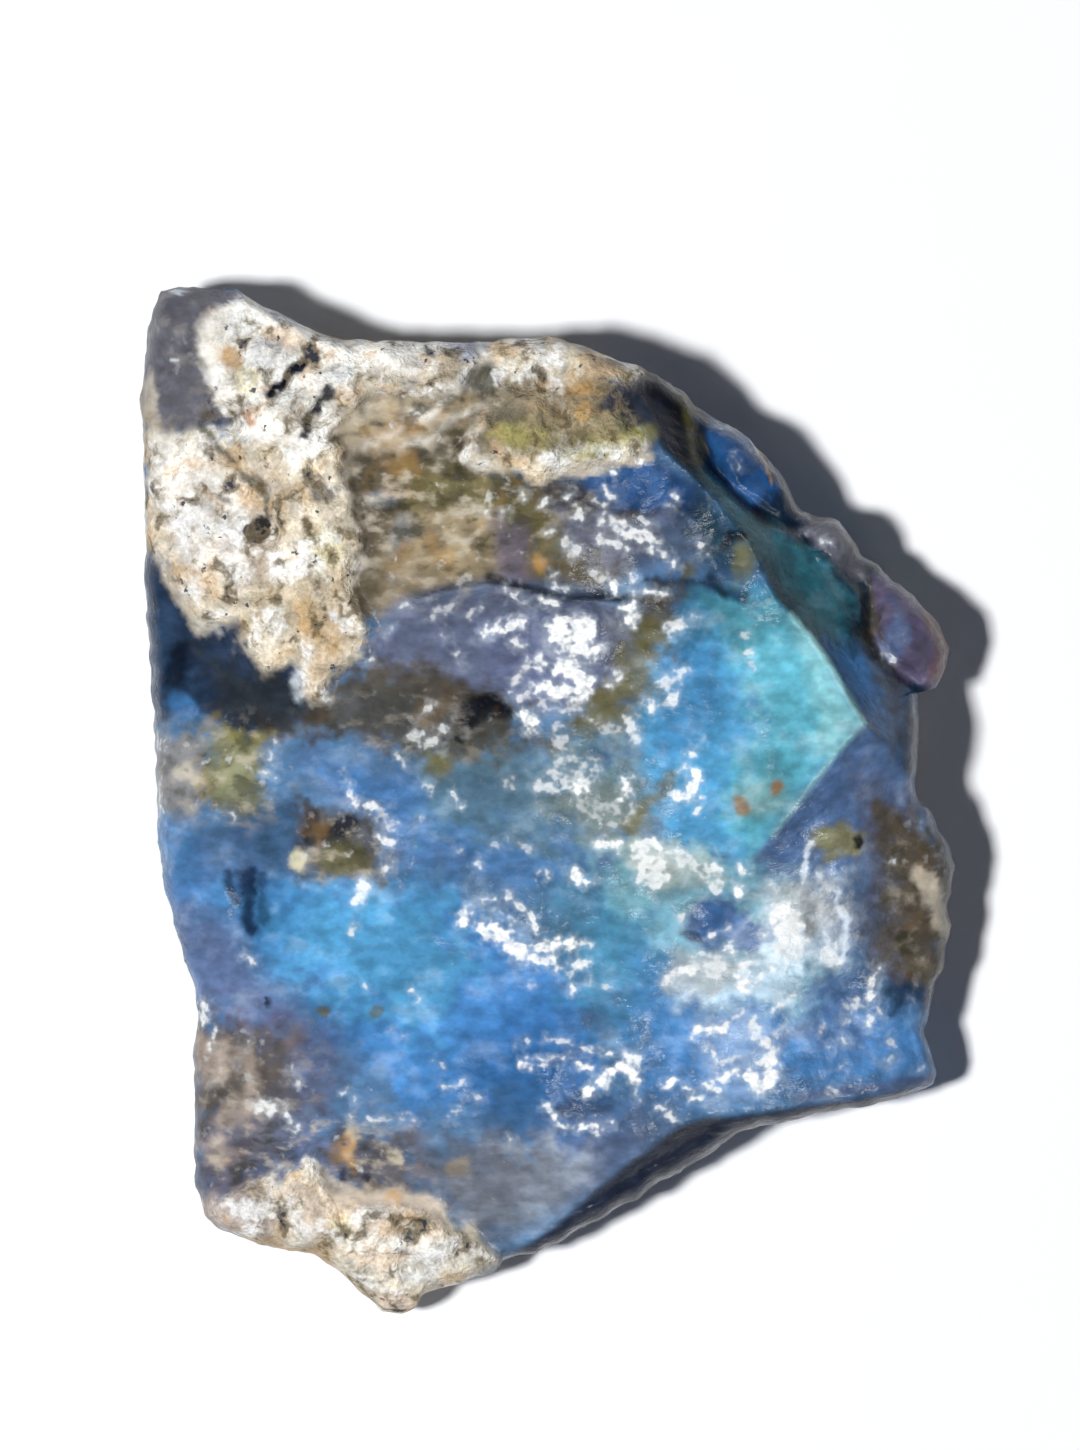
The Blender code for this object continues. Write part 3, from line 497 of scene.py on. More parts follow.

# Broad zones, painted in this order: colour, strength, softness in pixels: corners
# Cool white rows below: painted glare on the broken ground below the bright face, partly its milky stone
# Next row: painted shade on the steep face below the cut edge, turned away from the light
# Next two rows: painted shade on the upper right tier beyond the main ridge, turned from the light, over
# its own teal
PATCHES = table("""
slate blue 0.5 60: 150 860,330 900,330 1040,180 1040
blue 1 50: 200 880,420 880,560 960,600 1090,420 1110,330 1040
sky 0.9 60: 230 890,420 880,470 960,430 1030,290 985
deep blue 0.5 50: 460 1010,600 990,600 1150,480 1130
deep blue 0.4 40: 240 880,310 880,315 940,250 950
slate blue 0.4 40: 545 1110,620 1105,620 1180,550 1190
sky 0.6 50: 590 900,690 900,700 1000,620 1030,570 990
teal 0.35 50: 540 860,650 860,660 960,600 990,540 940
slate blue 0.55 50: 560 1100,700 1090,640 1150,560 1210,500 1180
blue 0.8 50: 640 950,760 980,930 1010,930 1080,720 1095,640 1080
slate blue 0.75 36: 770 960,860 975,870 1045,790 1040
navy 0.75 24: 878 978,945 965,935 1012,890 1015
lavender 0.5 40: 165 890,230 930,290 1010,250 1030,190 990
slate blue 0.6 40: 540 1120,650 1110,600 1190,530 1200
slate 0.5 24: 540 1150,640 1120,680 1125,560 1215,520 1200
grey 0.8 40: 430 1170,540 1140,600 1170,540 1225,470 1240
violet 0.55 50: 190 1010,300 1010,350 1060,330 1130,420 1140,420 1210,200 1215
host brown 0.55 40: 190 1020,290 1040,310 1100,270 1170,195 1190
mauve 0.6 36: 194 1130,245 1140,250 1195,200 1210
host brown 0.6 34: 190 1010,250 1030,290 1070,255 1110,195 1120
knob 0.6 40: 380 1130,500 1130,540 1170,500 1250,440 1225,395 1200
host brown 0.6 26: 330 1130,405 1140,410 1205,335 1190
slate blue 0.7 50: 300 760,520 760,660 800,640 870,420 880,330 820
blue 0.55 40: 330 770,480 770,600 840,540 880,400 850
sea grey 0.7 50: 400 745,560 740,670 760,680 840,560 850,430 830
moss 0.35 34: 540 800,650 770,665 820,600 845
sea grey 0.5 40: 560 715,650 700,660 760,570 770
blue 0.5 20: 150 815,195 820,205 900,168 900
host brown 0.95 30: 280 430,480 370,500 470,640 470,660 540,600 595,490 580,370 620,330 700,270 640
olive 0.6 36: 400 460,520 480,600 560,500 580,400 560
tan 0.75 24: 385 525,440 510,500 515,505 580,440 585,375 610
cream 0.65 26: 345 400,400 385,455 385,450 450,345 455
violet 0.6 22: 495 520,530 520,530 590,495 590
navy 0.7 26: 545 480,650 455,700 490,715 530,620 520,560 515
navy 0.3 20: 600 470,680 470,690 515,610 515
deep blue 0.7 20: 570 474,650 458,690 490,690 515,610 505
slate 0.7 26: 560 510,700 520,740 560,640 570,560 560
navy 0.55 24: 660 470,700 480,745 530,770 590,720 580,680 520
dark teal 0.6 24: 700 500,745 545,770 600,720 590,690 540
slate blue 0.7 26: 640 560,760 560,770 610,660 620
slate 0.95 26: 366 628,410 598,500 585,600 600,645 625,640 680,590 715,500 700,430 700,362 690
lavender 0.35 24: 480 620,560 615,580 700,500 700
host brown 0.8 34: 330 665,430 664,520 710,560 745,450 765,370 745,300 730
dark olive 0.4 30: 350 665,440 670,520 700,540 740,430 760,360 720
navy 0.75 22: 136 545,165 560,215 590,260 610,320 660,310 720,240 735,190 715,136 740
charcoal 0.6 30: 150 560,215 600,320 670,320 735,230 735,170 660
dark olive 0.5 24: 200 645,262 680,330 690,340 735,230 735
moss 0.8 24: 205 728,262 733,268 790,245 812,205 800
tan 0.6 20: 150 735,208 735,215 800,190 815,152 810
host brown 0.75 22: 296 800,385 812,395 850,375 885,305 872
navy 0.5 24: 225 800,300 800,305 870,240 900
slate blue 0.5 26: 200 825,250 825,260 880,200 885
dark teal 0.35 24: 670 535,735 535,760 590,740 640,680 620
olive 0.3 34: 612 600,664 600,670 700,612 706
sky 1 30: 640 640,700 590,760 580,800 640,820 760,770 830,745 862,680 850,640 780,632 710
cyan 0.8 34: 700 600,774 596,812 645,859 723,800 790,750 861,720 800,760 720
pale cyan 0.6 22: 785 616,812 640,862 723,828 758,806 740,812 690
dark teal 0.5 44: 650 570,776 598,806 634,760 645,650 650
teal 0.4 30: 740 760,790 755,790 810,745 830
deep blue 0.35 26: 655 650,720 640,720 720,660 760
dark teal 1 8: 637 392,665 452,712 497,747 542,774 597,811 640,831 670,861 722,878 738,915 785,960 700,
960 600,880 500,780 400,640 340
navy 0.55 8: 637 392,665 452,712 497,747 542,774 597,811 640,831 670,861 722,900 770,960 700,960 600,
880 500,780 400,640 340
navy 0.6 20: 700 400,780 470,860 560,850 600,790 560,730 500
black 1 14: 630 360,672 380,700 410,712 465,705 488,664 452,636 394
deep blue 0.75 16: 698 412,745 436,768 462,772 492,750 505,716 478,700 450
teal 0.6 22: 700 470,760 520,850 580,850 660,800 620,752 545
blue 0.75 24: 822 640,870 650,915 700,915 770,880 735,845 695
host brown 0.7 22: 862 570,884 590,905 680,925 740,915 780,890 740,868 640
knob 0.9 12: 806 520,840 518,868 560,872 590,830 560,806 535
violet 0.95 10: 872 578,895 578,945 630,955 670,938 692,905 680,880 645
rust 0.45 14: 925 600,955 640,955 680,935 690,932 640
slate blue 1 8: 860 724,878 740,917 787,930 809,850 860,790 880,750 862,804 789
slate 0.75 34: 850 770,917 800,960 860,955 980,870 985,845 920,850 850
dark olive 0.5 26: 925 820,965 850,965 980,920 985,925 920
host brown 0.5 40: 865 800,920 820,930 980,868 975,872 900
host brown 0.8 30: 880 800,945 840,960 900,950 980,895 975,885 900
moss 0.8 12: 808 828,835 820,862 832,858 850,828 858,810 848
pale cyan 0.45 40: 625 835,700 850,800 880,830 960,790 1010,690 1000,650 940,590 870
cool white 0.5 26: 765 880,842 870,846 960,780 975,752 940
pale yellow 0.35 26: 620 835,690 845,720 880,650 895
cool white 0.42 26: 664 960,740 948,805 960,780 1000,680 1002
cool white 0.2 34: 690 1000,770 995,784 1040,778 1092,730 1096,700 1050
slate blue 0.9 14: 683 912,708 893,740 897,765 930,745 946,690 945
knob 1 16: 140 280,215 283,240 292,238 318,222 328,230 370,232 425,180 438,158 430,136 430
cream 1 14: 205 325,245 300,340 338,480 345,500 350,480 380,410 385,350 400,332 440,290 450,230 440,208 400
white 0.6 14: 205 325,245 300,340 338,480 345,500 350,480 380,410 385,350 400,332 440,290 450,230 440,
208 400
tan 0.6 14: 365 385,420 372,480 352,500 362,470 440,400 440,340 445
cream 1 14: 148 432,200 430,250 445,335 445,352 500,362 545,345 590,370 628,360 655,335 672,326 705,303 700,
298 668,268 676,243 650,240 620,205 636,176 602,160 560,140 540
tan 0.45 24: 243 560,330 560,345 600,330 640,250 640
pink cream 0.45 30: 150 480,260 470,300 560,240 600,180 590
white 0.55 26: 150 440,215 440,250 500,250 570,200 580,150 500
cream 1 12: 492 345,545 336,600 345,645 372,628 400,650 448,632 465,575 470,540 478,462 468,482 400
charcoal 0.5 18: 615 400,662 405,676 450,625 456
host brown 0.75 26: 490 385,590 375,640 400,620 450,480 460
dark olive 0.45 24: 480 395,600 385,640 420,600 455,480 450
charcoal 0.85 14: 596 385,640 380,650 430,640 445,610 420
moss 0.3 16: 520 420,620 410,640 445,580 462,520 455
tan 0.5 20: 520 395,600 385,620 415,560 440
ochre 0.3 14: 298 600,345 605,345 640,325 690,305 690,300 640
cream 1 14: 205 1200,260 1182,310 1158,340 1185,405 1188,455 1218,500 1262,400 1330,340 1290,220 1250
white 0.6 26: 350 1225,440 1235,480 1262,410 1285,360 1270
pink cream 0.5 20: 210 1195,300 1180,420 1190,440 1225,330 1235,240 1240
mauve 0.5 20: 196 1185,250 1180,285 1245,210 1245
charcoal 1 8: 500 1263,516 1251,550 1229,591 1194,634 1158,678 1126,707 1116,760 1112,822 1102,873 1096,
940 1080,940 1110,760 1150,620 1240,500 1290
""")

# Lines of colour: colour, strength, half width and softness in pixels: points
# Next two rows: painted highlight along the ridge edges, with the paler thin stone there
STREAKS = table("""
black 0.85 5 7: 490 578,519 588,541 593,562 599,600 597,660 602
black 0.7 5 9: 645 580,698 585,724 592
black 0.8 5 6: 720 548,727 536,742 537
black 0.7 7 8: 708 580,725 592,742 594
host brown 0.7 18 26: 660 605,650 640
olive 0.85 20 26: 652 640,636 684,610 706,594 716
olive 0.7 7 8: 628 822,650 800,668 778
black 0.8 9 8: 325 830,355 818
black 0.7 7 8: 306 806,312 840
navy 0.75 6 8: 232 874,236 905
navy 0.85 8 8: 247 874,250 928
navy 0.6 5 8: 262 880,262 912
black 1 7 6: 270 395,288 382,305 367
black 0.95 6 6: 304 434,314 416,332 396
dark olive 0.85 3 6: 198 428,230 452,256 482,274 504,272 530
host brown 0.8 4 6: 312 522,325 533,360 540
white 0.45 5 8: 370 440,430 410,500 375
white 0.4 4 8: 400 450,450 425,478 410
moss 0.8 9 10: 570 455,610 450,648 435
cream 0.9 6 6: 466 462,530 474,600 468,648 460
pale cyan 0.95 3 3: 789 616,811 641,831 671,861 722
pale cyan 0.5 3 4: 859 726,832 755,806 789,771 834
olive 0.5 6 6: 684 394,694 430,700 460
black 0.7 5 6: 700 418,703 445,716 470,735 494,766 518,797 532
ochre 0.75 3 3: 764 455,769 480
cool white 0.5 2 3: 700 412,745 436,768 462
cool white 0.8 3 4: 808 847,804 862,802 880
cream 0.85 8 8: 918 876,930 900,943 920
cool white 0.7 3 4: 840 960,845 925,838 892,820 876
cool white 0.6 3 4: 826 955,830 925,824 905
ochre 0.7 6 8: 342 1142,360 1162
pink cream 0.4 8 20: 205 1040,250 1060,258 1110
violet 0.5 5 8: 800 1096,870 1088,930 1078
rust 0.8 5 7: 246 412,250 428
charcoal 0.9 9 9: 206 420,232 425
sky 0.5 8 14: 340 910,420 925,450 900
""")

# Spots of colour: colour, strength, softness as a share, u, v, half width, half height
SPOTS = table("""
deep blue 0.55 0.7 706 916 22 18 | slate blue 0.9 0.6 744 926 13 20 | navy 0.6 0.7 690 935 12 7
dark olive 0.6 0.8 812 926 7 12 | charcoal 0.8 0.7 617 402 22 9 | charcoal 0.5 0.7 600 366 16 6
black 0.95 0.6 492 712 24 13 | moss 0.5 1.2 441 762 16 10 | black 0.9 0.6 468 724 12 8
black 0.8 0.5 461 740 4 4 | black 0.95 0.4 260 530 16 12 | black 0.7 0.5 228 499 7 6
charcoal 0.75 0.7 326 492 17 9 | pale yellow 0.8 0.7 328 548 18 17 | ochre 0.7 0.6 235 357 12 12
pale yellow 0.6 0.7 248 378 14 14 | knob 0.65 0.7 275 346 20 12 | charcoal 0.6 0.7 341 376 15 8
black 0.85 0.5 427 354 6 5 | slate blue 0.6 0.6 465 350 15 10 | dark olive 0.8 0.6 482 380 12 20
white 0.9 0.6 532 352 16 9 | black 0.85 0.4 541 381 6 5 | ochre 0.45 0.7 562 392 24 8
ochre 0.45 0.7 580 412 12 8 | white 0.8 0.5 640 463 6 4 | moss 0.7 0.7 520 440 26 14
ochre 0.8 1 541 567 6 8 | grey 0.5 1 402 535 18 16 | grey 0.55 0.9 382 500 18 7
moss 0.6 1.1 741 562 12 18 | olive 0.6 1 685 570 9 8 | rust 0.85 0.9 742 806 11 7
rust 0.85 0.9 775 786 7 7 | moss 0.3 1.2 758 800 32 18 | black 0.9 0.4 855 838 4 7
cream 0.9 0.5 920 880 14 10 | dark olive 0.7 0.6 908 943 9 13 | slate blue 0.85 0.7 745 922 13 18
slate blue 0.7 0.7 767 932 10 9 | pale yellow 0.8 0.7 301 859 11 9 | olive 0.7 0.7 348 858 26 20
cream 0.6 0.9 187 773 12 9 | olive 0.8 0.5 328 1010 6 6 | olive 0.6 0.5 378 1010 5 5
black 0.8 0.4 271 1003 4 4 | charcoal 0.5 0.7 588 1102 24 14 | ochre 0.7 0.6 392 1200 9 10
cream 0.8 0.6 400 1152 6 8 | pink cream 0.45 1 214 1062 16 26 | pink cream 0.45 1 236 1112 16 14
pink cream 0.4 1 216 1150 18 14 | cream 0.35 1 806 905 30 24 | cream 0.35 1 700 970 36 18
cream 0.3 1 652 862 26 18 | navy 0.8 0.5 345 1175 6 6 | navy 0.7 0.5 370 1178 5 5
pale yellow 0.7 0.7 345 1225 16 12 | knob 0.4 0.7 412 1230 6 6 | knob 0.5 0.7 404 1254 7 6
knob 0.4 0.7 408 1276 7 6 | pink cream 0.8 0.7 395 1303 16 9 | tan 0.6 0.7 460 1168 14 8
cool white 0.8 0.5 178 294 7 4 | cool white 0.7 0.4 177 363 3 3 | knob 0.7 0.7 180 415 20 14
cream 0.6 0.7 152 400 7 30 | slate blue 0.6 0.7 893 632 12 24 | blue 0.6 0.7 182 708 12 14
black 0.8 0.7 180 668 16 26 | cool white 0.5 0.7 300 690 10 16
""")

# Light caught by broken facets: strength, half width in pixels: points
GLINTS = table("""
# The long bright break in the middle of the blue
0.9 7: 464 918,470 910 | 1 9: 482 925,500 934,524 953 | 0.8 4: 480 902,486 899,509 897,528 912,537 930
0.6 4: 495 910,508 918,515 934 | 1 6: 533 945,552 943,574 944 | 0.95 6: 530 955,542 960,554 958
0.8 3: 557 969,567 964 | 0.9 4: 577 965,585 960 | 0.9 4: 569 988,582 983 | 0.5 2.5: 560 976,572 973
0.5 2.5: 587 978,607 985 | 0.6 3: 580 943,592 942 | 0.6 3: 531 983,533 984 | 0.7 4: 476 863,481 866
0.75 4: 543 873,546 875 | 1 5: 572 871,580 880,591 881 | 1 7: 600 843,616 846
0.4 3: 493 843,512 842,530 848 | 0.35 4: 452 843,460 850
# The scooped break near the lower edge, ringed by bright ripples
0.95 3: 519 1063,536 1058,562 1056 | 0.7 2.5: 531 1064,558 1064 | 0.6 2.5: 545 1038,562 1039,573 1043
0.5 2.5: 516 1042,529 1041 | 0.6 3: 570 1050,575 1050 | 0.95 4: 577 1062,590 1068
0.85 3.5: 583 1048,600 1050,614 1055,634 1055,639 1067 | 1 7: 622 1064,634 1074
1 6: 588 1091,600 1078,611 1070 | 0.6 3: 604 1086,610 1082 | 0.5 2.5: 636 1080,637 1100
0.9 3: 547 1107,554 1116,562 1125,574 1127,590 1125,597 1123 | 1 4: 576 1126,586 1126
0.9 4: 546 1107,548 1109 | 0.8 3: 596 1130,612 1122 | 0.6 3: 445 1086,453 1083
0.6 3: 462 1082,466 1082 | 0.5 3: 478 1096,481 1096 | 0.5 3: 456 1112,460 1110
0.7 3: 450 1120,453 1120 | 0.6 3: 508 1139,513 1139 | 0.4 3: 437 1060,440 1061
# The grey dome
0.95 4: 504 590,514 598,526 602 | 1 5: 543 603,554 606 | 0.7 3: 557 588,564 592 | 1 6: 611 584,615 590
0.5 7: 594 576,602 580 | 0.8 4: 630 577,632 581 | 0.95 3: 627 593,645 592,663 595
0.9 4: 672 563,674 567 | 1 7: 628 609,631 620 | 1 17: 561 633,580 631 | 1 11: 567 646,590 650
1 11: 562 668,575 674,584 682 | 1 8: 543 688,560 692,586 694 | 0.95 7: 538 659,541 666
0.6 4: 510 692,522 672,531 661 | 0.6 4: 520 700,532 685 | 1 7: 488 633,500 628 | 0.9 7: 509 627,519 624
0.85 5: 515 642,520 646 | 0.5 3: 446 634,450 642 | 0.6 3: 457 657,461 659 | 0.4 3: 430 620,440 610
0.4 3: 444 612,456 604 | 0.45 3: 470 616,480 610 | 0.8 6: 609 684,616 674 | 0.95 8: 527 716,531 726
0.5 8: 545 706,575 706
# Between the dome and the bright face
0.5 4: 688 622,696 619 | 0.75 7: 670 630,678 622 | 0.85 5: 645 703,653 712 | 0.8 5: 671 700,675 698
0.6 4: 661 705,665 703 | 0.6 8: 664 683,673 677 | 0.6 4: 679 673,684 668 | 0.65 7: 629 718,632 736
0.35 6: 603 728,618 728 | 0.5 4: 588 719,592 720 | 0.45 8: 561 730,563 745 | 1 12: 578 782,585 778
0.5 18: 566 772,584 772 | 0.6 7: 540 785,556 788 | 0.9 5: 627 778,625 792,621 806
0.35 14: 590 810,620 812 | 0.95 4: 699 742,690 756,681 770 | 1 8: 694 776,691 790
0.9 6: 674 796,686 794 | 0.8 4: 698 800,696 811 | 0.7 4: 453 794,460 803 | 0.5 6: 425 783,430 788
0.35 6: 508 779,512 782 | 0.5 4: 421 820,424 822 | 0.55 5: 748 654,750 664 | 0.4 4: 743 634,746 638
# The milky broken ground below the bright face
0.75 17: 645 852,652 872 | 0.95 8: 650 844,657 848 | 0.8 8: 640 880,648 876 | 0.6 8: 676 856,692 864
0.6 8: 706 870,714 884 | 0.8 5: 711 866,716 867 | 1 5: 741 868,743 870 | 1 6: 736 888,738 891
0.6 5: 713 888,717 890 | 0.8 4: 681 917,685 912 | 0.8 3.5: 728 929,730 930 | 0.8 3: 710 935,713 934
1 5.5: 729 945,731 948 | 0.9 17: 783 915,790 935 | 0.7 12: 778 950,795 948 | 0.55 12: 700 960,716 966
0.85 6: 665 980,680 972,693 966 | 1 8: 741 978,743 986 | 0.8 5: 738 966,752 962 | 0.8 4: 757 979,770 969
0.9 4: 772 1010,783 1001,793 993 | 1 5.5: 692 1031,708 1026,723 1024 | 0.9 4: 717 1033,728 1028
0.6 3: 734 1015,750 1007 | 0.7 7: 752 1022,756 1036 | 0.9 4: 784 1025,786 1028
0.6 3: 772 1033,775 1036 | 0.7 4: 711 1050,714 1056 | 0.9 6: 768 1042,771 1054 | 1 5: 720 1077,737 1069
0.6 3: 716 1065,741 1055 | 1 9: 750 1074,760 1086 | 1 9: 768 1078,770 1064 | 0.8 6: 758 1062,764 1056
1 4.5: 665 1084,673 1079 | 0.9 4: 683 1085,686 1087 | 1 5: 703 1080,717 1089 | 0.9 5: 694 1096,699 1097
0.7 4: 658 1106,674 1116
# The top band and its glints
0.95 5: 608 472,612 474 | 0.8 3: 604 490,612 498 | 0.6 3: 596 503,604 506 | 0.8 3: 672 496,676 498
0.6 4: 668 506,672 510 | 0.8 3: 566 500,572 497 | 0.7 3: 572 508,580 512 | 0.8 3: 519 497,524 498
0.7 4: 543 507,547 504 | 0.85 4: 480 514,487 512 | 0.8 3: 502 514,508 515 | 0.7 3: 548 532,556 533
0.6 7: 568 543,572 552 | 0.7 3: 576 520,582 523 | 0.75 7: 604 522,622 527 | 0.8 8: 628 536,648 540
0.7 5: 600 540,625 550 | 0.8 4: 650 548,664 554 | 0.6 4: 640 520,650 528 | 0.6 4: 700 545,705 553
0.6 4: 552 575,555 583 | 0.6 3: 560 590,566 592 | 0.8 4: 820 540,824 543 | 0.7 2.5: 804 515,806 516
0.6 2.5: 801 531,803 533 | 0.5 3: 717 425,722 430 | 0.4 3: 735 455,738 470 | 0.8 2.5: 880 651,893 661
# The left side
0.5 2.5: 277 738,279 745 | 0.7 4: 271 757,273 764 | 0.8 3.5: 266 770,273 780 | 0.5 2.5: 272 788,268 800
0.8 3: 346 776,349 785,353 800 | 0.8 6: 358 803,372 806 | 0.5 3: 228 812,233 816
0.5 7: 378 815,394 826 | 0.85 5: 381 836,390 842 | 0.7 5: 390 862,384 876 | 0.8 7: 366 886,358 896
0.6 2.5: 354 921,352 931 | 0.5 2.5: 402 607,406 603 | 0.4 2.5: 385 640,392 630
0.6 3.5: 364 663,372 660 | 0.55 3: 398 755,404 762 | 0.55 8: 415 735,430 740 | 0.5 6: 436 735,446 728
0.6 3: 424 715,432 706 | 0.6 3: 160 785,162 812 | 0.5 4: 158 738,160 750 | 0.6 4: 324 690,328 698
# The lower left
0.8 3: 246 955,254 961 | 0.8 3: 412 989,419 997 | 0.7 3: 392 1030,402 1038 | 0.5 2.5: 366 985,370 989
0.6 3: 347 1091,355 1099 | 0.5 2.5: 349 1114,352 1115 | 0.6 3: 368 1118,373 1119
0.6 3: 385 1119,389 1119 | 0.7 3: 405 1116,414 1121 | 0.5 2.5: 438 1060,442 1062
0.8 3: 289 1107,287 1115,293 1125,300 1126 | 0.7 7: 262 1106,270 1108
0.8 5: 203 1003,205 1012,203 1022 | 0.6 4: 215 1030,210 1045 | 0.6 3: 244 1048,250 1040
0.5 3: 293 1070,298 1082
# The lower right
0.95 4.5: 876 968,871 985,869 997 | 0.85 6: 866 1017,868 1024 | 0.5 8: 855 1005,850 1015
0.7 3: 875 1002,878 1012 | 0.6 4: 889 1040,893 1046 | 0.5 3: 890 1055,888 1060
0.8 4: 830 1046,833 1048 | 0.7 3.5: 842 1066,844 1068 | 0.5 3: 818 1030,821 1026
0.6 3: 890 859,891 861 | 0.7 10: 830 950,832 960 | 0.5 3: 822 1093,836 1090 | 0.4 2.5: 916 1073,922 1068
""")

# Where the surface is rough host rock, besides the crust, and how far: u, v, half width and height
HOST_AREAS = [
    (440, 500, 110, 90), (560, 500, 60, 40, 0.4), (420, 415, 80, 45), (920, 880, 40, 80, 0.4),
    (250, 1080, 70, 70, 0.55), (300, 1160, 130, 50, 0.9), (420, 730, 110, 40, 0.35),
    (345, 845, 50, 40, 0.8), (225, 770, 60, 50, 0.8), (180, 350, 40, 80, 0.3),
]

# Where small bright chips of light break up the opal: u, v, half width and height, strength
CHIP_AREAS = [
    (795, 930, 60, 55, 0.6), (690, 865, 60, 30, 0.55), (715, 975, 55, 30, 0.55),
    (600, 780, 60, 50, 0.3), (740, 1050, 80, 45, 0.35), (630, 530, 40, 20, 0.3),
    (430, 740, 40, 30, 0.4), (865, 1020, 45, 60, 0.4), (220, 1070, 40, 60, 0.3),
    (575, 655, 60, 60, 0.4), (520, 940, 60, 35, 0.4),
]

# Parts of the crust that are smooth grey stone: u, v, half width and height
SMOOTH_AREAS = [(172, 350, 44, 86)]

# Scooped breaks ringed by fine ripples: u, v, reach in pixels
RIPPLED_BREAKS = [(590, 1082, 74), (505, 905, 80), (745, 700, 60)]

SCALE = STONE_LENGTH / (max(v for _, v in OUTLINE) - min(v for _, v in OUTLINE))


def place(u, v):
    """Millimetres from the middle of the stone for a place in the picture frame."""
    return ((u - MIDDLE[0]) * SCALE, (MIDDLE[1] - v) * SCALE)


def places(line):
    return np.array([place(point[0], point[1]) for point in line])


CENTRE = np.array(place(*RADIAL_CENTRE))


def ease(value):
    """0 below 0, 1 above 1, with a smooth run between."""
    held = np.clip(value, 0.0, 1.0)
    return held * held * (3.0 - 2.0 * held)


def roughness(points, length, seed):
    """Seeded uneven values of about -1 to 1 that change over the given length."""
    shift = Vector([part * seed for part in NOISE_STRIDE])
    shape = (NOISE_FALL, NOISE_GROWTH, NOISE_LAYERS)
    return np.array([noise.fractal(Vector(point) / length + shift, *shape) for point in points])


def flakes(points, length, seed):
    """Shallow bowls that meet along sharp ridges: 0 on the ridges, 1 in the middle of a bowl."""
    shift = Vector([part * seed for part in FLAKE_STRIDE])
    gaps = [noise.voronoi(Vector(point) / length + shift)[0][0] for point in points]
    return np.clip(1.0 - np.array(gaps) ** 2, 0.0, 1.0)


def with_height(flat, height):
    """Points x, y, z from flat points and one height or one for each."""
    return np.column_stack([flat, np.broadcast_to(height, len(flat))])


def distance_to_line(points, line):
    """Distance from each point to a line of straight stretches."""
    nearest = np.full(len(points), np.inf)
    for start, end in zip(line[:-1], line[1:]):
        stretch = end - start
        along = np.clip((points - start) @ stretch / (stretch @ stretch), 0.0, 1.0)
        gap = np.linalg.norm(points - start - along[:, None] * stretch, axis=1)
        nearest = np.minimum(nearest, gap)
    return nearest


def depth_inside(points, corners):
    """Distance inside a closed outline, negative outside it."""
    inside = np.zeros(len(points), bool)
    for start, end in zip(corners, np.roll(corners, -1, axis=0)):
        spans = (start[1] > points[:, 1]) != (end[1] > points[:, 1])
        rise = end[1] - start[1] if end[1] != start[1] else 1.0
        crossing = start[0] + (points[:, 1] - start[1]) * (end[0] - start[0]) / rise
        inside ^= spans & (points[:, 0] < crossing)
    gap = distance_to_line(points, np.vstack([corners, corners[:1]]))
    return np.where(inside, gap, -gap)


def walked(line, step, closed=False):
    """The line again, with points about one step apart."""
    points = np.array(line, float)
    if closed:
        points = np.vstack([points, points[:1]])
    lengths = np.linalg.norm(np.diff(points, axis=0), axis=1)
    travelled = np.concatenate([[0.0], np.cumsum(lengths)])
    count = max(2, round(travelled[-1] / step))
    stops = np.linspace(0.0, travelled[-1], count + 1)
    if closed:
        stops = stops[:-1]
    return np.column_stack([np.interp(stops, travelled, column) for column in points.T])


def face_cage():
    """The coarse upper face: its pins, and the triangles that join them along the sharp edges."""
    pins = [(*place(u, v), height) for u, v, height in FACE_PINS]
    for u, v, height in RIM_PINS:
        outward = (np.array(place(u, v)) - CENTRE) * GUARD_SCALE + CENTRE
        pins.append((*outward, height))
    edges = []
    for line in SHARP_EDGES:
        first = len(pins)
        pins += [(*place(u, v), height) for u, v, height in line]
        edges += [(index, index + 1) for index in range(first, len(pins) - 1)]
    corners, _, triangles, origins, _, _ = delaunay_2d_cdt(
        [Vector(pin[:2]) for pin in pins], edges, [], 0, SAME_PLACE
    )
    heights = [pins[sources[0]][2] for sources in origins]
    return np.array([tuple(corner) for corner in corners]), np.array(heights), triangles


CAGE = face_cage()
SHARP_PLACES = [places(line) for line in SHARP_EDGES]


def cage_height(points):
    """Height of the coarse face, straight between its pins."""
    corners, heights, triangles = CAGE
    found = np.zeros(len(points))
    for first, second, third in triangles:
        origin = corners[first]
        around = corners[[first, second, third]]
        low = around.min(axis=0) - SAME_PLACE
        high = around.max(axis=0) + SAME_PLACE
        near = np.flatnonzero(((points >= low) & (points <= high)).all(axis=1))
        sides = np.array([corners[second] - origin, corners[third] - origin])
        shares = (points[near] - origin) @ np.linalg.inv(sides)
        rest = 1.0 - shares.sum(axis=1)
        inside = np.minimum(rest, shares.min(axis=1)) > -SAME_PLACE
        level = rest * heights[first] + shares @ heights[[second, third]]
        found[near[inside]] = level[inside]
    return found


def softened_height(points):
    """The coarse face with its bends rounded, except along the sharp edges."""
    gap = np.min([distance_to_line(points, line) for line in SHARP_PLACES], axis=0)
    reach = np.minimum(SOFTENING, gap)
    total = cage_height(points)
    samples = 1
    for share, count, turn in SOFTENING_RINGS:
        for index in range(count):
            angle = 2.0 * math.pi * (index + turn) / count
            offset = np.array([math.cos(angle), math.sin(angle)])
            total += cage_height(points + share * reach[:, None] * offset)
            samples += 1
    return total / samples


def crust_depth(points):
    """Distance inside the nearest patch of crust, negative off the crust."""
    return np.max([depth_inside(points, places(patch)) for patch in CRUSTS], axis=0)


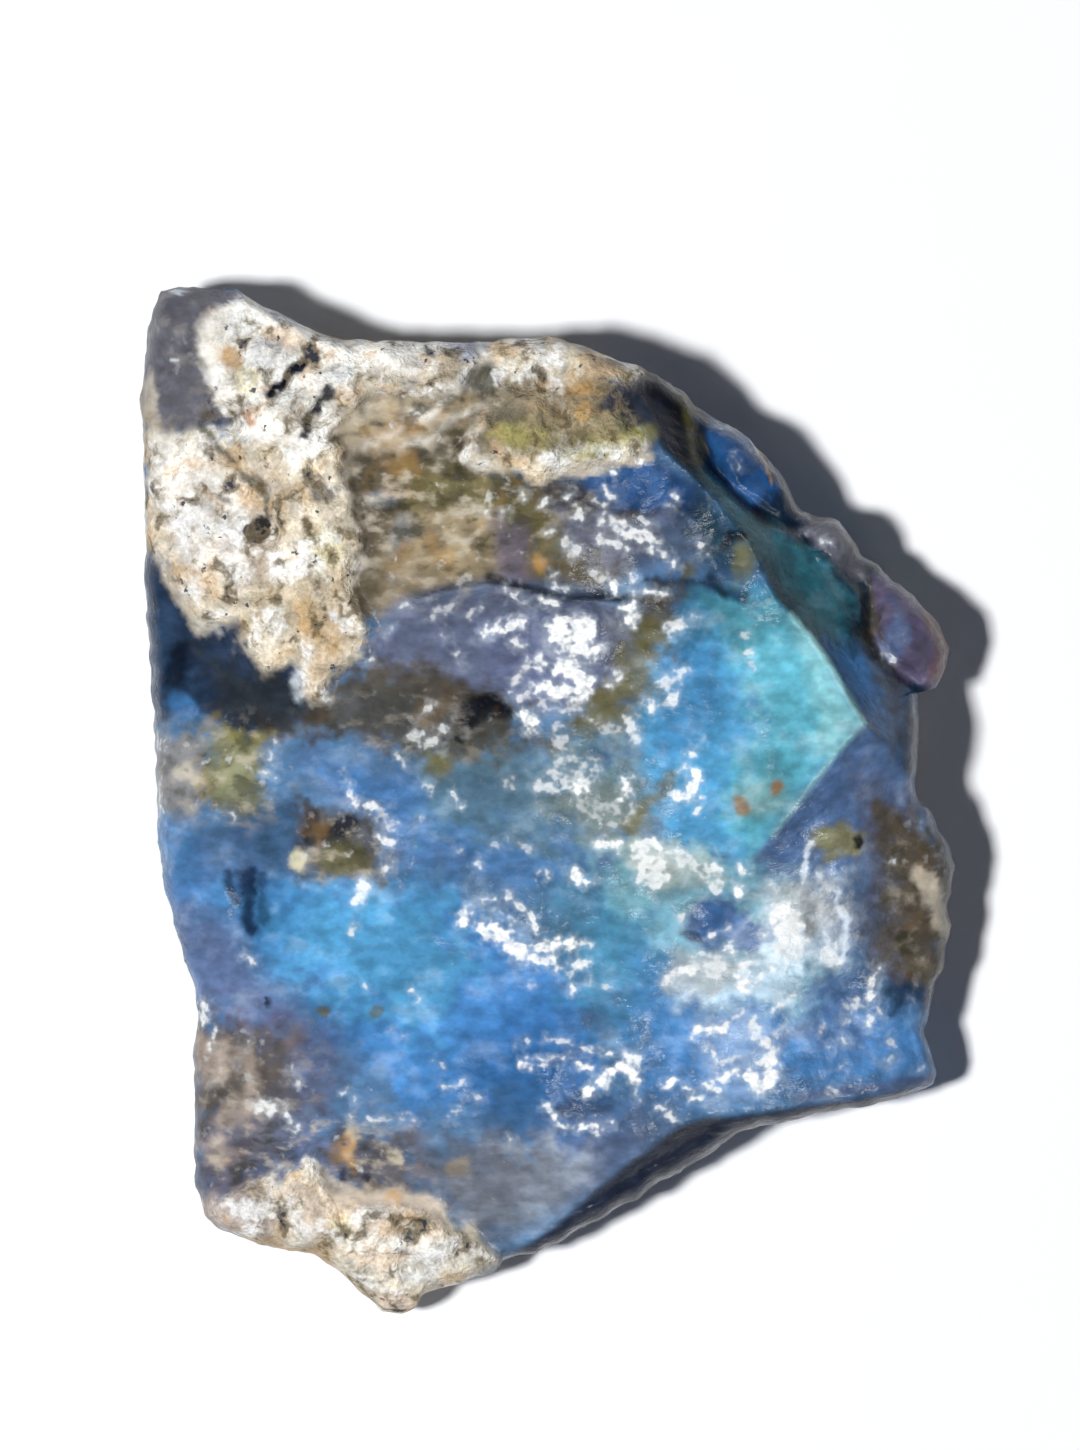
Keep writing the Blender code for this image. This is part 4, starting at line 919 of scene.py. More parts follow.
def mound_height(points):
    """Sum of the lumps, scoops and pits."""
    total = np.zeros(len(points))
    for u, v, half_width, half_height, rise in MOUNDS:
        offset = (points - place(u, v)) / (half_width * SCALE, half_height * SCALE)
        closeness = np.clip(1.0 - (offset**2).sum(axis=1), 0.0, None)
        total += rise * closeness**MOUND_POWER
    return total


def crack_depth(points):
    total = np.zeros(len(points))
    for line, half_width, depth in CRACKS:
        total += depth * ease(1.0 - distance_to_line(points, places(line)) / half_width)
    return total


def ledge_depth(points):
    """Drop just below the broken ledge, fading out down the dome."""
    ledge = places(DOME_LEDGE)
    level = np.interp(points[:, 0], ledge[:, 0], ledge[:, 1])
    below = level - points[:, 1]
    from_start = ease((points[:, 0] - ledge[0, 0]) / LEDGE_FADE)
    to_end = ease((ledge[-1, 0] - points[:, 0]) / LEDGE_FADE)
    down = ease(below / LEDGE_STEP) * ease(1.0 - below / LEDGE_LENGTH)
    return LEDGE_DROP * from_start * to_end * down


def grains(points, sizes, seed):
    """Sum of uneven reliefs, each of its own length and height."""
    total = np.zeros(len(points))
    for order, (length, rise) in enumerate(sizes):
        total += rise * roughness(points, length, seed + order)
    return total


def area_share(points, areas):
    """How far each point is inside the nearest of some soft round areas, 0 to 1."""
    share = np.zeros(len(points))
    for u, v, half_width, half_height, *strength in areas:
        offset = (points - place(u, v)) / (half_width * SCALE, half_height * SCALE)
        inside = ease(AREA_EDGE - np.linalg.norm(offset, axis=1))
        share = np.maximum(share, inside * (strength[0] if strength else 1.0))
    return share


def fine_relief(points, crust):
    """Grains of the crust and the host rock, ripples of the glassy breaks and small chips."""
    flat = with_height(points, 0.0)
    host = area_share(points, HOST_AREAS) * (1.0 - crust)
    glassy = (1.0 - crust) * (1.0 - host)
    relief = crust * grains(flat, CRUST_GRAINS, CRUST_GRAIN_SEED)
    relief += host * grains(flat, HOST_GRAINS, HOST_GRAIN_SEED)
    relief += glassy * grains(flat, OPAL_RIPPLES, RIPPLE_SEED)
    chips = area_share(points, CHIP_AREAS) * (1.0 - crust)
    for length, depth in CHIP_SIZES:
        relief -= depth * chips * flakes(flat, length, CHIP_SEED)
    wobble = RIPPLE_WOBBLE * roughness(flat, RIPPLE_WOBBLE_LENGTH, WOBBLE_SEED)
    for u, v, reach in RIPPLED_BREAKS:
        away = np.linalg.norm(points - place(u, v), axis=1)
        fade = ease(RIPPLE_FADE - RIPPLE_FADE * away / (reach * SCALE)) * glassy
        relief += RIPPLE_HEIGHT * fade * np.cos(2.0 * math.pi * (away + wobble) / RIPPLE_SPACING)
    return relief


def top_height(points):
    """Height of the upper face at each flat point."""
    depth = crust_depth(points)
    crust = ease(0.5 + depth / CRUST_EDGE)
    height = softened_height(points) + mound_height(points)
    height -= crack_depth(points) + ledge_depth(points)
    height += fine_relief(points, crust)
    flat = with_height(points, 0.0)
    lumps = CRUST_LUMP_HEIGHT * roughness(flat, CRUST_LUMP_LENGTH, CRUST_SEED)
    height += crust * (CRUST_THICKNESS + lumps)
    waves = ROUGHNESS_HEIGHT * roughness(flat, ROUGHNESS_LENGTH, FACE_SEED)
    bowls = FACE_FLAKE_DEPTH * (0.5 - flakes(flat, FACE_FLAKE_LENGTH, FACE_FLAKE_SEED))
    return height + (1.0 - crust) * (waves + bowls)


def base_corners():
    """Corners of the level base, where the edges of neighbouring underside faces meet."""
    corners = []
    for face, following in zip(UNDERSIDE_FACES, UNDERSIDE_FACES[1:] + UNDERSIDE_FACES[:1]):
        normals = [
            (math.cos(math.radians(angle)), math.sin(math.radians(angle)))
            for angle in (face[0], following[0])
        ]
        corners.append(np.linalg.solve(np.array(normals), np.array([face[1], following[1]])))
    return np.array(corners)


BASE = base_corners()


def underside_height(points, ceiling):
    """Height of the underside, level over the base and well below the upper face."""
    height = np.zeros(len(points))
    for angle, distance, rise in UNDERSIDE_FACES:
        facing = np.array([math.cos(math.radians(angle)), math.sin(math.radians(angle))])
        height = np.maximum(height, (points @ facing - distance) * math.tan(math.radians(rise)))
    away = -depth_inside(points, BASE)
    lumps = roughness(with_height(points, 0.0), UNDERSIDE_LUMP_LENGTH, UNDERSIDE_SEED)
    height += (UNDERSIDE_LIFT + UNDERSIDE_LUMP_HEIGHT * lumps) * ease(away / UNDERSIDE_FADE)
    return np.maximum(0.0, np.minimum(height, ceiling - LEAST_DEPTH))


def inset(points, distance):
    """The points moved towards the middle of the stone by one distance or one for each."""
    offset = CENTRE - points
    share = distance / np.linalg.norm(offset, axis=1)
    return points + offset * share[:, None]


def evened(values, reach):
    """Values round a ring, each the mean of itself and its neighbours."""
    return np.mean([np.roll(values, step) for step in range(-reach, reach + 1)], axis=0)


def grid_inside(corners, step, keep_off):
    """Triangular grid inside a closed outline, kept clear of it and of the given lines."""
    low = corners.min(axis=0)
    high = corners.max(axis=0)
    row_height = step * math.sqrt(3.0) / 2.0
    points = []
    for row in range(math.ceil((high[1] - low[1]) / row_height)):
        shift = 0.5 * step * (row % 2)
        for column in range(math.ceil((high[0] - low[0]) / step) + 1):
            points.append((low[0] + column * step + shift, low[1] + row * row_height))
    points = np.array(points)
    seeds = with_height(points, 0.0)
    wander = [roughness(seeds, GRID_WANDER_LENGTH, seed) for seed in GRID_SEEDS]
    points = points + GRID_WANDER * step * np.column_stack(wander)
    clear = depth_inside(points, corners) > CLEAR_OF_EDGE * step
    for line in keep_off:
        clear &= distance_to_line(points, line) > CLEAR_OF_LINE * step
    return points[clear]


def filled(boundary, inner, lines):
    """Triangles that fill the boundary through the inner points and along the given lines."""
    points = [Vector(point) for point in boundary]
    edges = [(index, (index + 1) % len(boundary)) for index in range(len(boundary))]
    for line, closed in lines:
        first = len(points)
        points += [Vector(point) for point in line]
        edges += [(index, index + 1) for index in range(first, len(points) - 1)]
        if closed:
            edges.append((len(points) - 1, first))
    points += [Vector(point) for point in inner]
    found, _, triangles, _, _, _ = delaunay_2d_cdt(points, edges, [], 1, SAME_PLACE)
    flat = np.array([tuple(point) for point in found])
    return flat, triangles


def rim_levels(rim):
    """Height of the stone's widest line at each point of the outline."""
    seeds = with_height(rim, 0.0)
    level = np.minimum(top_height(inset(rim, RIM_WIDTH)), top_height(rim))
    wander = RIM_WANDER * (0.5 + roughness(seeds, RIM_WANDER_LENGTH, RIM_SEED))
    return evened(level - RIM_DROP - np.maximum(0.0, wander), round(RIM_EVENING / EDGE_STEP))


def wall_ring(rim, rim_level, low_level, turn):
    """One ring of the broken side: turn is 0 at the widest line, 90 degrees at the underside."""
    seeds = with_height(rim, 0.0)
    spread = ease(0.5 + roughness(seeds, WALL_CHANGE_LENGTH, WALL_SEED))
    width = WALL_LEAST_WIDTH + WALL_EXTRA_WIDTH * spread
    level = rim_level + (low_level - rim_level) * math.sin(turn)
    ring = inset(rim, width * (1.0 - math.cos(turn)))
    side = with_height(ring, level * WALL_CHIP_FLATNESS)
    chips = WALL_FLAKE_DEPTH * flakes(side, WALL_FLAKE_LENGTH, WALL_FLAKE_SEED)
    chips += WALL_CHIP_DEPTH * flakes(side, WALL_CHIP_LENGTH, WALL_CHIP_SEED)
    chips -= grains(side, SIDE_GRAINS, SIDE_SEED)
    return with_height(inset(ring, chips * math.sin(turn)), level)


def rim_ring(rim, rim_level, turn):
    """One ring of the rounded upper edge: turn is 0 at the widest line, 90 degrees on the face."""
    ring = inset(rim, RIM_WIDTH * (1.0 - math.cos(turn)))
    level = rim_level + (top_height(inset(rim, RIM_WIDTH)) - rim_level) * math.sin(turn)
    return with_height(ring, level)


def turns(bands):
    return [0.5 * math.pi * band / bands for band in range(1, bands + 1)]


class StoneMesh:
    """Vertices and triangles of the stone, gathered ring by ring and cap by cap."""

    def __init__(self, first_ring):
        self.vertices = [tuple(point) for point in first_ring]
        self.faces = []
        self.count = len(first_ring)

    def add_band(self, previous, ring, upward):
        """A band of triangles from the previous ring to a new one, whose numbers it returns."""
        first = len(self.vertices)
        self.vertices.extend(tuple(point) for point in ring)
        current = list(range(first, first + self.count))
        for index in range(self.count):
            following = (index + 1) % self.count
            corners = [previous[index], previous[following], current[following], current[index]]
            if not upward:
                corners.reverse()
            self.faces.append((corners[0], corners[2], corners[1]))
            self.faces.append((corners[0], corners[3], corners[2]))
        return current

    def add_cap(self, edge, flat, triangles, level, upward):
        """A filled face whose first points are the numbered edge ring."""
        numbers = list(edge)
        for point, height in zip(flat[self.count:], level[self.count:]):
            numbers.append(len(self.vertices))
            self.vertices.append((point[0], point[1], height))
        for triangle in triangles:
            corners = [numbers[index] for index in triangle]
            self.faces.append(tuple(corners if upward else reversed(corners)))


def add_upper_face(stone, rim, rim_level):
    """The rounded upper edge and the broken upper face inside it."""
    ring = list(range(stone.count))
    for turn in turns(RIM_BANDS):
        ring = stone.add_band(ring, rim_ring(rim, rim_level, turn), True)
    edge = inset(rim, RIM_WIDTH)
    ridges = []
    for line in SHARP_PLACES:
        points = walked(line, TOP_STEP)
        ridges.append(points[depth_inside(points, edge) > CLEAR_OF_LINE * TOP_STEP])
    inner = grid_inside(edge, TOP_STEP, ridges)
    flat, triangles = filled(edge, inner, [(line, False) for line in ridges])
    stone.add_cap(ring, flat, triangles, top_height(flat), True)


def add_underside(stone, rim, rim_level):
    """The broken side and the underside with its level base."""
    ring = list(range(stone.count))
    low_edge = inset(rim, WALL_LEAST_WIDTH + WALL_EXTRA_WIDTH)
    low_level = underside_height(low_edge, top_height(low_edge))
    low_level = np.minimum(low_level, rim_level - WALL_LEAST_HEIGHT)
    low_level = evened(low_level, round(LOW_EVENING / EDGE_STEP))
    for turn in turns(WALL_BANDS):
        points = wall_ring(rim, rim_level, low_level, turn)
        ring = stone.add_band(ring, points, False)
    edge = points[:, :2]
    inner = grid_inside(edge, UNDERSIDE_STEP, [])
    flat, triangles = filled(edge, inner, [])
    level = underside_height(flat, top_height(flat))
    off_base = ease(-depth_inside(flat, BASE) / BASE_FADE)
    worn = grains(with_height(flat, 0.0), SIDE_GRAINS, SIDE_SEED)
    level = np.maximum(0.0, level + worn * (BASE_ROUGHNESS + off_base * (1.0 - BASE_ROUGHNESS)))
    stone.add_cap(ring, flat, triangles, level, False)


def stone_mesh():
    """Vertices and triangles of the whole stone, in millimetres."""
    rim = walked(places(OUTLINE), EDGE_STEP, closed=True)
    ragged = roughness(with_height(rim, 0.0), RIM_RAGGED_LENGTH, RAGGED_SEED)
    rim = inset(rim, RIM_RAGGED * ragged)
    rim_level = rim_levels(rim)
    stone = StoneMesh(with_height(rim, rim_level))
    add_upper_face(stone, rim, rim_level)
    add_underside(stone, rim, rim_level)
    return np.array(stone.vertices), stone.faces


def pixels(points):
    """Place in the picture frame of each flat point."""
    return np.column_stack([points[:, 0] / SCALE + MIDDLE[0], MIDDLE[1] - points[:, 1] / SCALE])


def linear(code):
    """Scene colour of an sRGB code such as #4f8fce."""
    parts = np.array([int(code[index:index + 2], 16) for index in (1, 3, 5)]) / 255.0
    return np.where(parts <= 0.04045, parts / 12.92, ((parts + 0.055) / 1.055) ** 2.4)


def beside(spots, corners, margin):
    """Numbers of the spots in or near the box round some corners."""
    low = corners.min(axis=0) - margin
    high = corners.max(axis=0) + margin
    return np.flatnonzero(((spots > low) & (spots < high)).all(axis=1))


def coat(name):
    """A palette colour with a fourth number, 1 for the colours that stand for light."""
    return np.append(linear(PALETTE[name]), 1.0 if name in BRIGHT_COLOURS else 0.0)


def lay(colours, near, cover, name):
    """Paints a palette colour over the numbered vertices by the given cover."""
    share = cover[:, None]
    colours[near] = colours[near] * (1.0 - share) + coat(name) * share


def wander(vertices, warps):
    """Uneven flat moves of the vertices, one for each length and reach in millimetres."""
    total = np.zeros((len(vertices), 2))
    for length, reach in warps:
        total += reach * np.column_stack([roughness(vertices, length, seed) for seed in WARP_SEEDS])
    return total


def painted(flat, fray):
    """Colour of each flat place from the zones, lines and spots, their edges frayed unevenly."""
    spots = pixels(flat)
    colours = np.tile(coat("steel"), (len(spots), 1))
    for name, strength, softness, corners in PATCHES:
        near = beside(spots, corners, softness)
        cover = ease(0.5 + depth_inside(spots[near], corners) / softness + fray[near])
        lay(colours, near, strength * cover, name)
    for name, strength, half_width, softness, points in STREAKS:
        near = beside(spots, points, half_width + softness)
        gap = distance_to_line(spots[near], points)
        lay(colours, near, strength * ease(0.5 + (half_width - gap) / softness + fray[near]), name)
    for name, strength, softness, u, v, half_width, half_height in SPOTS:
        size = np.array([half_width, half_height])
        near = beside(spots, np.array([[u, v]]), SPOT_MARGIN * size)
        away = np.linalg.norm((spots[near] - (u, v)) / size, axis=1)
        lay(colours, near, strength * ease(0.5 + (1.0 - away) / softness + fray[near]), name)
    return colours


def glinting(flat):
    """Depth of each flat place inside the nearest glint, as a share of the reach, and its light."""
    spots = pixels(flat)
    depth = np.full(len(spots), -GLINT_REACH)
    light = np.zeros(len(spots))
    for strength, half_width, points in GLINTS:
        near = beside(spots, points, half_width + GLINT_REACH)
        inside = half_width - distance_to_line(spots[near], points)
        chosen = near[inside > depth[near]]
        depth[chosen] = inside[inside > depth[near]]
        light[chosen] = strength
    return np.minimum(depth / GLINT_REACH, GLINT_FULL * light), light


def underside_colours(vertices):
    """Host rock of the underside, with patches of opal and darker stains."""
    patchy = UNDER_PATCH_CONTRAST * roughness(vertices, UNDER_PATCH_LENGTH, PATCH_SEED)
    patchy = ease(0.5 + patchy)[:, None]
    stained = UNDER_STAIN_CONTRAST * roughness(vertices, UNDER_STAIN_LENGTH, STAIN_SEED)
    stained = UNDER_STAIN_SHARE * ease(UNDER_STAIN_START + stained)[:, None]
    colours = coat("slate blue") * patchy + coat("tan") * (1.0 - patchy)
    return colours * (1.0 - stained) + coat("host brown") * stained


def add_values(mesh, name, values):
    """Stores a colour or a number for each vertex."""
    if values.ndim == 2:
        layer = mesh.attributes.new(name, "FLOAT_COLOR", "POINT")
        layer.data.foreach_set("color", values.ravel())
    else:
        layer = mesh.attributes.new(name, "FLOAT", "POINT")
        layer.data.foreach_set("value", values)


def evenly(relief, sizes):
    """A relief made by grains, from its own heights to about -1 to 1."""
    return relief / sum(rise for _, rise in sizes)


def build_surface():
    """The fine stone, with its colours and the places of its rough and bright parts."""
    vertices, faces = stone_mesh()
    mesh = bpy.data.meshes.new("opal_surface")
    mesh.from_pydata((vertices * METRES).tolist(), [], faces)
    mesh.shade_smooth()
    flat = vertices[:, :2]
    below = np.maximum(0.0, top_height(flat) - vertices[:, 2])
    side = ease(below / SIDE_REACH)
    under = ease((below - UNDER_START) / UNDER_REACH)
    freedom = ease(np.min([distance_to_line(flat, line) for line in SHARP_PLACES], axis=0)
                   / RIDGE_STILLNESS)
    moved = inset(flat, SIDE_INSET * side)
    moved = moved + freedom[:, None] * (1.0 - side[:, None]) * wander(vertices, ZONE_WARPS)
    moved = moved + side[:, None] * wander(vertices, SIDE_WARPS)
    fray = freedom * grains(vertices, FRAY_SIZES, FRAY_SEED)
    colours = painted(moved, fray) * (1.0 - under[:, None])
    colours += underside_colours(vertices) * under[:, None]
    crust = ease(0.5 + crust_depth(moved) / CRUST_PAINT_EDGE) * (1.0 - under)
    crust *= 1.0 - area_share(moved, SMOOTH_AREAS)
    host = np.maximum(area_share(moved, HOST_AREAS), UNDER_HOST_SHARE * under) * (1.0 - crust)
    ground = with_height(flat, 0.0)
    # Height of the fine grains, from which the material paints shade on the low grains and light on the
    # high ones
    grit = crust * evenly(grains(ground, CRUST_GRAINS, CRUST_GRAIN_SEED), CRUST_GRAINS)
    grit += host * evenly(grains(ground, HOST_GRAINS, HOST_GRAIN_SEED), HOST_GRAINS)
    add_values(mesh, "grit", grit)
    add_values(mesh, "paint", colours)
    add_values(mesh, "crust", crust)
    add_values(mesh, "host", host)
    depth, light = glinting(flat)
    add_values(mesh, "glint_depth", depth)
    add_values(mesh, "glint_light", light * (1.0 - side))
    add_values(mesh, "chips", area_share(flat, CHIP_AREAS) * (1.0 - side) * (1.0 - crust))
    surface = bpy.data.objects.new("opal_surface", mesh)
    bpy.context.scene.collection.objects.link(surface)
    return surface


class Shader:
    """A material whose nodes are added one by one, each giving back an output to join on."""

    def __init__(self, name):
        self.material = bpy.data.materials.new(name)
        self.material.use_nodes = True
        self.tree = self.material.node_tree
        self.tree.nodes.clear()
        self.place = self.add("ShaderNodeTexCoord", {}, output="Object")
        self.place = self.add(
            "ShaderNodeVectorMath", {0: self.place, "Scale": 1.0 / METRES}, operation="SCALE"
        )

    def add(self, kind, inputs, output=0, **settings):
        node = self.tree.nodes.new(kind)
        for name, value in settings.items():
            setattr(node, name, value)
        for name, value in inputs.items():
            if isinstance(value, bpy.types.NodeSocket):
                self.tree.links.new(value, node.inputs[name])
            else:
                node.inputs[name].default_value = value
        return node.outputs[output] if node.outputs else None

    def layer(self, name, output="Fac"):
        """A value stored on the mesh."""
        return self.add("ShaderNodeAttribute", {}, output=output, attribute_name=name)

    def cloud(self, length, detail=3.0, stretch=(1.0, 1.0, 1.0), turn=0.0):
        """Uneven values round 0.5 that change over the given length in millimetres."""
        place = self.place
        if stretch != (1.0, 1.0, 1.0):
            place = self.add(
                "ShaderNodeMapping",
                {"Vector": place, "Rotation": (0.0, 0.0, math.radians(turn)), "Scale": stretch},
            )
        return self.add(
            "ShaderNodeTexNoise", {"Vector": place, "Scale": 1.0 / length, "Detail": detail}
        )

    def blobs(self, length, wander):
        """Distance from the middles of uneven cells of the given size, as a share of it."""
        uneven = self.add(
            "ShaderNodeTexNoise", {"Vector": self.place, "Scale": 2.0 / length}, output=1
        )
        uneven = self.add(
            "ShaderNodeVectorMath", {0: uneven, "Scale": 2.0 * wander}, operation="SCALE"
        )
        place = self.add("ShaderNodeVectorMath", {0: self.place, 1: uneven}, operation="ADD")
        return self.add(
            "ShaderNodeTexVoronoi", {"Vector": place, "Scale": 1.0 / length}, output="Distance"
        )

    def between(self, value, low, high, to_low=0.0, to_high=1.0):
        """The value moved smoothly from one range to another and held inside it."""
        inputs = {"Value": value, "From Min": low, "From Max": high}
        inputs.update({"To Min": to_low, "To Max": to_high})
        return self.add("ShaderNodeMapRange", inputs, interpolation_type="SMOOTHSTEP")

    def times(self, first, second):
        return self.add("ShaderNodeMath", {0: first, 1: second}, operation="MULTIPLY")

    def plus(self, first, second):
        return self.add("ShaderNodeMath", {0: first, 1: second}, operation="ADD")

    def blend(self, share, first, second):
        """Two numbers mixed by a share."""
        return self.add("ShaderNodeMix", {0: share, 2: first, 3: second})

    def tint(self, share, colour, name):
        """A colour painted over with one of the palette by a share."""
        inputs = {0: share, 6: colour, 7: (*linear(PALETTE[name]), 1.0)}
        return self.add("ShaderNodeMix", inputs, output=2, data_type="RGBA")

    def mixed(self, share, first, second):
        """Two colours mixed by a share."""
        inputs = {0: share, 6: first, 7: second}
        return self.add("ShaderNodeMix", inputs, output=2, data_type="RGBA")

    def dimmed(self, colour, factor):
        """A colour made lighter or darker by a factor."""
        return self.add(
            "ShaderNodeVectorMath", {0: colour, "Scale": factor}, operation="SCALE"
        )


def opal_material():
    """Crust, host rock and glassy opal in one material, told apart by the values on the mesh."""
    shader = Shader("opal_dressed")
    paint = shader.layer("paint", "Color")
    pale = shader.add("ShaderNodeRGBToBW", {"Color": paint})
    crust = shader.layer("crust")
    host = shader.layer("host")
    grit = shader.layer("grit")

    # Glassy opal: soft clouds, a milky haze over its paler parts, and faint wisps
    haze = shader.cloud(*HAZE_CLOUD)
    wisp = shader.cloud(*WISP_CLOUD)
    glassy = shader.dimmed(paint, shader.between(shader.cloud(*BROAD_CLOUD), *BROAD_RAMP))
    glassy = shader.dimmed(glassy, shader.between(haze, *HAZE_RAMP))
    milky = shader.times(shader.between(pale, *MILKY_PALENESS), shader.between(haze, *MILKY_HAZE))
    glassy = shader.tint(milky, glassy, "cool white")
    glassy = shader.dimmed(glassy, shader.between(wisp, *WISP_RAMP))

    # Host rock: dull grains with painted light and shade by height, cream and near black flecks drawn out
    # along its bands, painted glints
    fleck = shader.cloud(*FLECK_CLOUD)
    rocky = shader.dimmed(paint, shader.between(grit, *ROCK_GRAIN_SHADE))
    rocky = shader.tint(shader.between(fleck, *ROCK_CREAM), rocky, "cream")
    rocky = shader.tint(shader.between(fleck, *ROCK_DARK), rocky, "dark olive")
    rocky = shader.tint(shader.between(shader.cloud(*STAIN_CLOUD), *ROCK_STAIN), rocky, "ochre")
    lit = shader.between(shader.cloud(*LIT_CLOUD), *ROCK_LIT)

    # Crust: chalky clumps with painted light and shade by grain height, painted shade and own browns in the
    # gaps, dark specks
    dusty = shader.cloud(*DUST_CLOUD)
    clean = shader.between(pale, *CLEAN_PALENESS)
    chalky = shader.dimmed(paint, shader.between(grit, *CHALK_GRAIN_SHADE))
    for name, ramp in (("white", DUST_WHITE), ("ochre", DUST_YELLOW)):
        chalky = shader.tint(shader.times(clean, shader.between(dusty, *ramp)), chalky, name)
    chalky = shader.dimmed(chalky, shader.between(shader.cloud(*CRUST_CLOUD), *CRUST_RAMP))
    uneven = shader.times(shader.cloud(*HOLLOW_CLOUD), HOLLOW_UNEVENNESS)
    hollow = shader.plus(shader.blobs(*HOLLOW_BLOBS), uneven)
    hollow = shader.plus(hollow, shader.times(grit, HOLLOW_SHADE_GRAINS))
    for name, *ramp in HOLLOW_SHADES:
        chalky = shader.tint(shader.between(hollow, *ramp), chalky, name)
    chalky = shader.dimmed(chalky, shader.between(shader.cloud(*CRUMB_CLOUD), *CRUMB_RAMP))
    speck = shader.between(shader.cloud(*SPECK_CLOUD), *SPECK_RAMP)
    chalky = shader.tint(speck, chalky, "charcoal")

    # Small bright chips where broken facets catch the light
    chips = shader.layer("chips")
    reach = shader.times(chips, shader.between(shader.cloud(*CHIP_CLOUD), *CHIP_REACH))
    chip = shader.plus(reach, shader.times(shader.blobs(*CHIP_BLOBS), -1.0))
    glow = shader.times(chips, shader.between(chip, *CHIP_GLOW))
    chip = shader.between(chip, *CHIP_CORE)

    # Glints listed in the table: a bright ragged core in a pale glow
    light = shader.layer("glint_light")
    facet = shader.between(shader.cloud(*FACET_CLOUD), *FACET_RAMP)
    ragged = shader.times(shader.plus(shader.cloud(*GLINT_CLOUD), -0.5), GLINT_RAGGED)
    depth = shader.plus(shader.layer("glint_depth"), ragged)
    core = shader.times(shader.times(light, facet), shader.between(depth, *GLINT_CORE))
    halo = shader.times(light, shader.between(depth, *GLINT_HALO))

    # Painted highlights from the bright colours of the paint keep full brightness; the rest is dimmed
    frayed = shader.times(shader.cloud(*EDGE_CLOUD), EDGE_UNEVENNESS)
    bright = shader.between(shader.plus(shader.layer("paint", "Alpha"), frayed), *BRIGHT_RAMP)
    shade = shader.blend(host, OPAL_SHADE, HOST_SHADE)
    colour = shader.mixed(host, glassy, rocky)
    # Painted glints scattered over the host rock, in white
    colour = shader.tint(shader.times(host, lit), colour, "white")
    colour = shader.dimmed(colour, shader.blend(bright, shade, BRIGHT_SHADE))
    colour = shader.mixed(crust, colour, shader.dimmed(chalky, CRUST_SHADE))
    # Painted highlights: the chips' glow and cores, and the glints' halos and cores
    for share, name in ((glow, "cool white"), (chip, "white"), (halo, "cool white"), (core, "white")):
        colour = shader.tint(share, colour, name)

    rough = shader.between(shader.cloud(*GLOSS_CLOUD), *GLOSS_RAMP)
    rough = shader.blend(host, rough, HOST_ROUGHNESS)
    rough = shader.blend(crust, rough, CRUST_ROUGHNESS)

    chalk_relief = shader.times(shader.cloud(*CHALK_CLOUD), CHALK_RELIEF)
    chalk_relief = shader.plus(chalk_relief, shader.times(shader.cloud(*GRIT_CLOUD), GRIT_RELIEF))
    relief = shader.times(shader.cloud(*RIPPLE_CLOUD), RIPPLE_RELIEF)
    relief = shader.plus(shader.times(wisp, WISP_RELIEF), relief)
    relief = shader.blend(host, relief, shader.times(fleck, FLECK_RELIEF))
    relief = shader.blend(crust, relief, chalk_relief)
    normal = shader.add(
        "ShaderNodeBump", {"Height": relief, "Distance": BUMP_HEIGHT * METRES, "Strength": 1.0}
    )

    surface = shader.add(
        "ShaderNodeBsdfPrincipled",
        {"Base Color": colour, "Roughness": rough, "Normal": normal, "IOR": OPAL_IOR,
         "Specular IOR Level": OPAL_SPECULAR},
    )
    shader.add("ShaderNodeOutputMaterial", {"Surface": surface})
    return shader.material


def plain_material(name, code, roughness_value):
    material = bpy.data.materials.new(name)
    material.use_nodes = True
    inputs = material.node_tree.nodes["Principled BSDF"].inputs
    inputs["Base Color"].default_value = (*linear(code), 1.0)
    inputs["Roughness"].default_value = roughness_value
    return material


def add_floor():
    mesh = bpy.data.meshes.new("floor")
    reach = FLOOR_SIZE / 2.0
    corners = [(-reach, -reach, 0.0), (reach, -reach, 0.0), (reach, reach, 0.0), (-reach, reach, 0.0)]
    mesh.from_pydata(corners, [], [(0, 1, 2, 3)])
    mesh.materials.append(plain_material("pale_floor", FLOOR_COLOUR, FLOOR_ROUGHNESS))
    floor = bpy.data.objects.new("floor", mesh)
    bpy.context.scene.collection.objects.link(floor)
    return floor


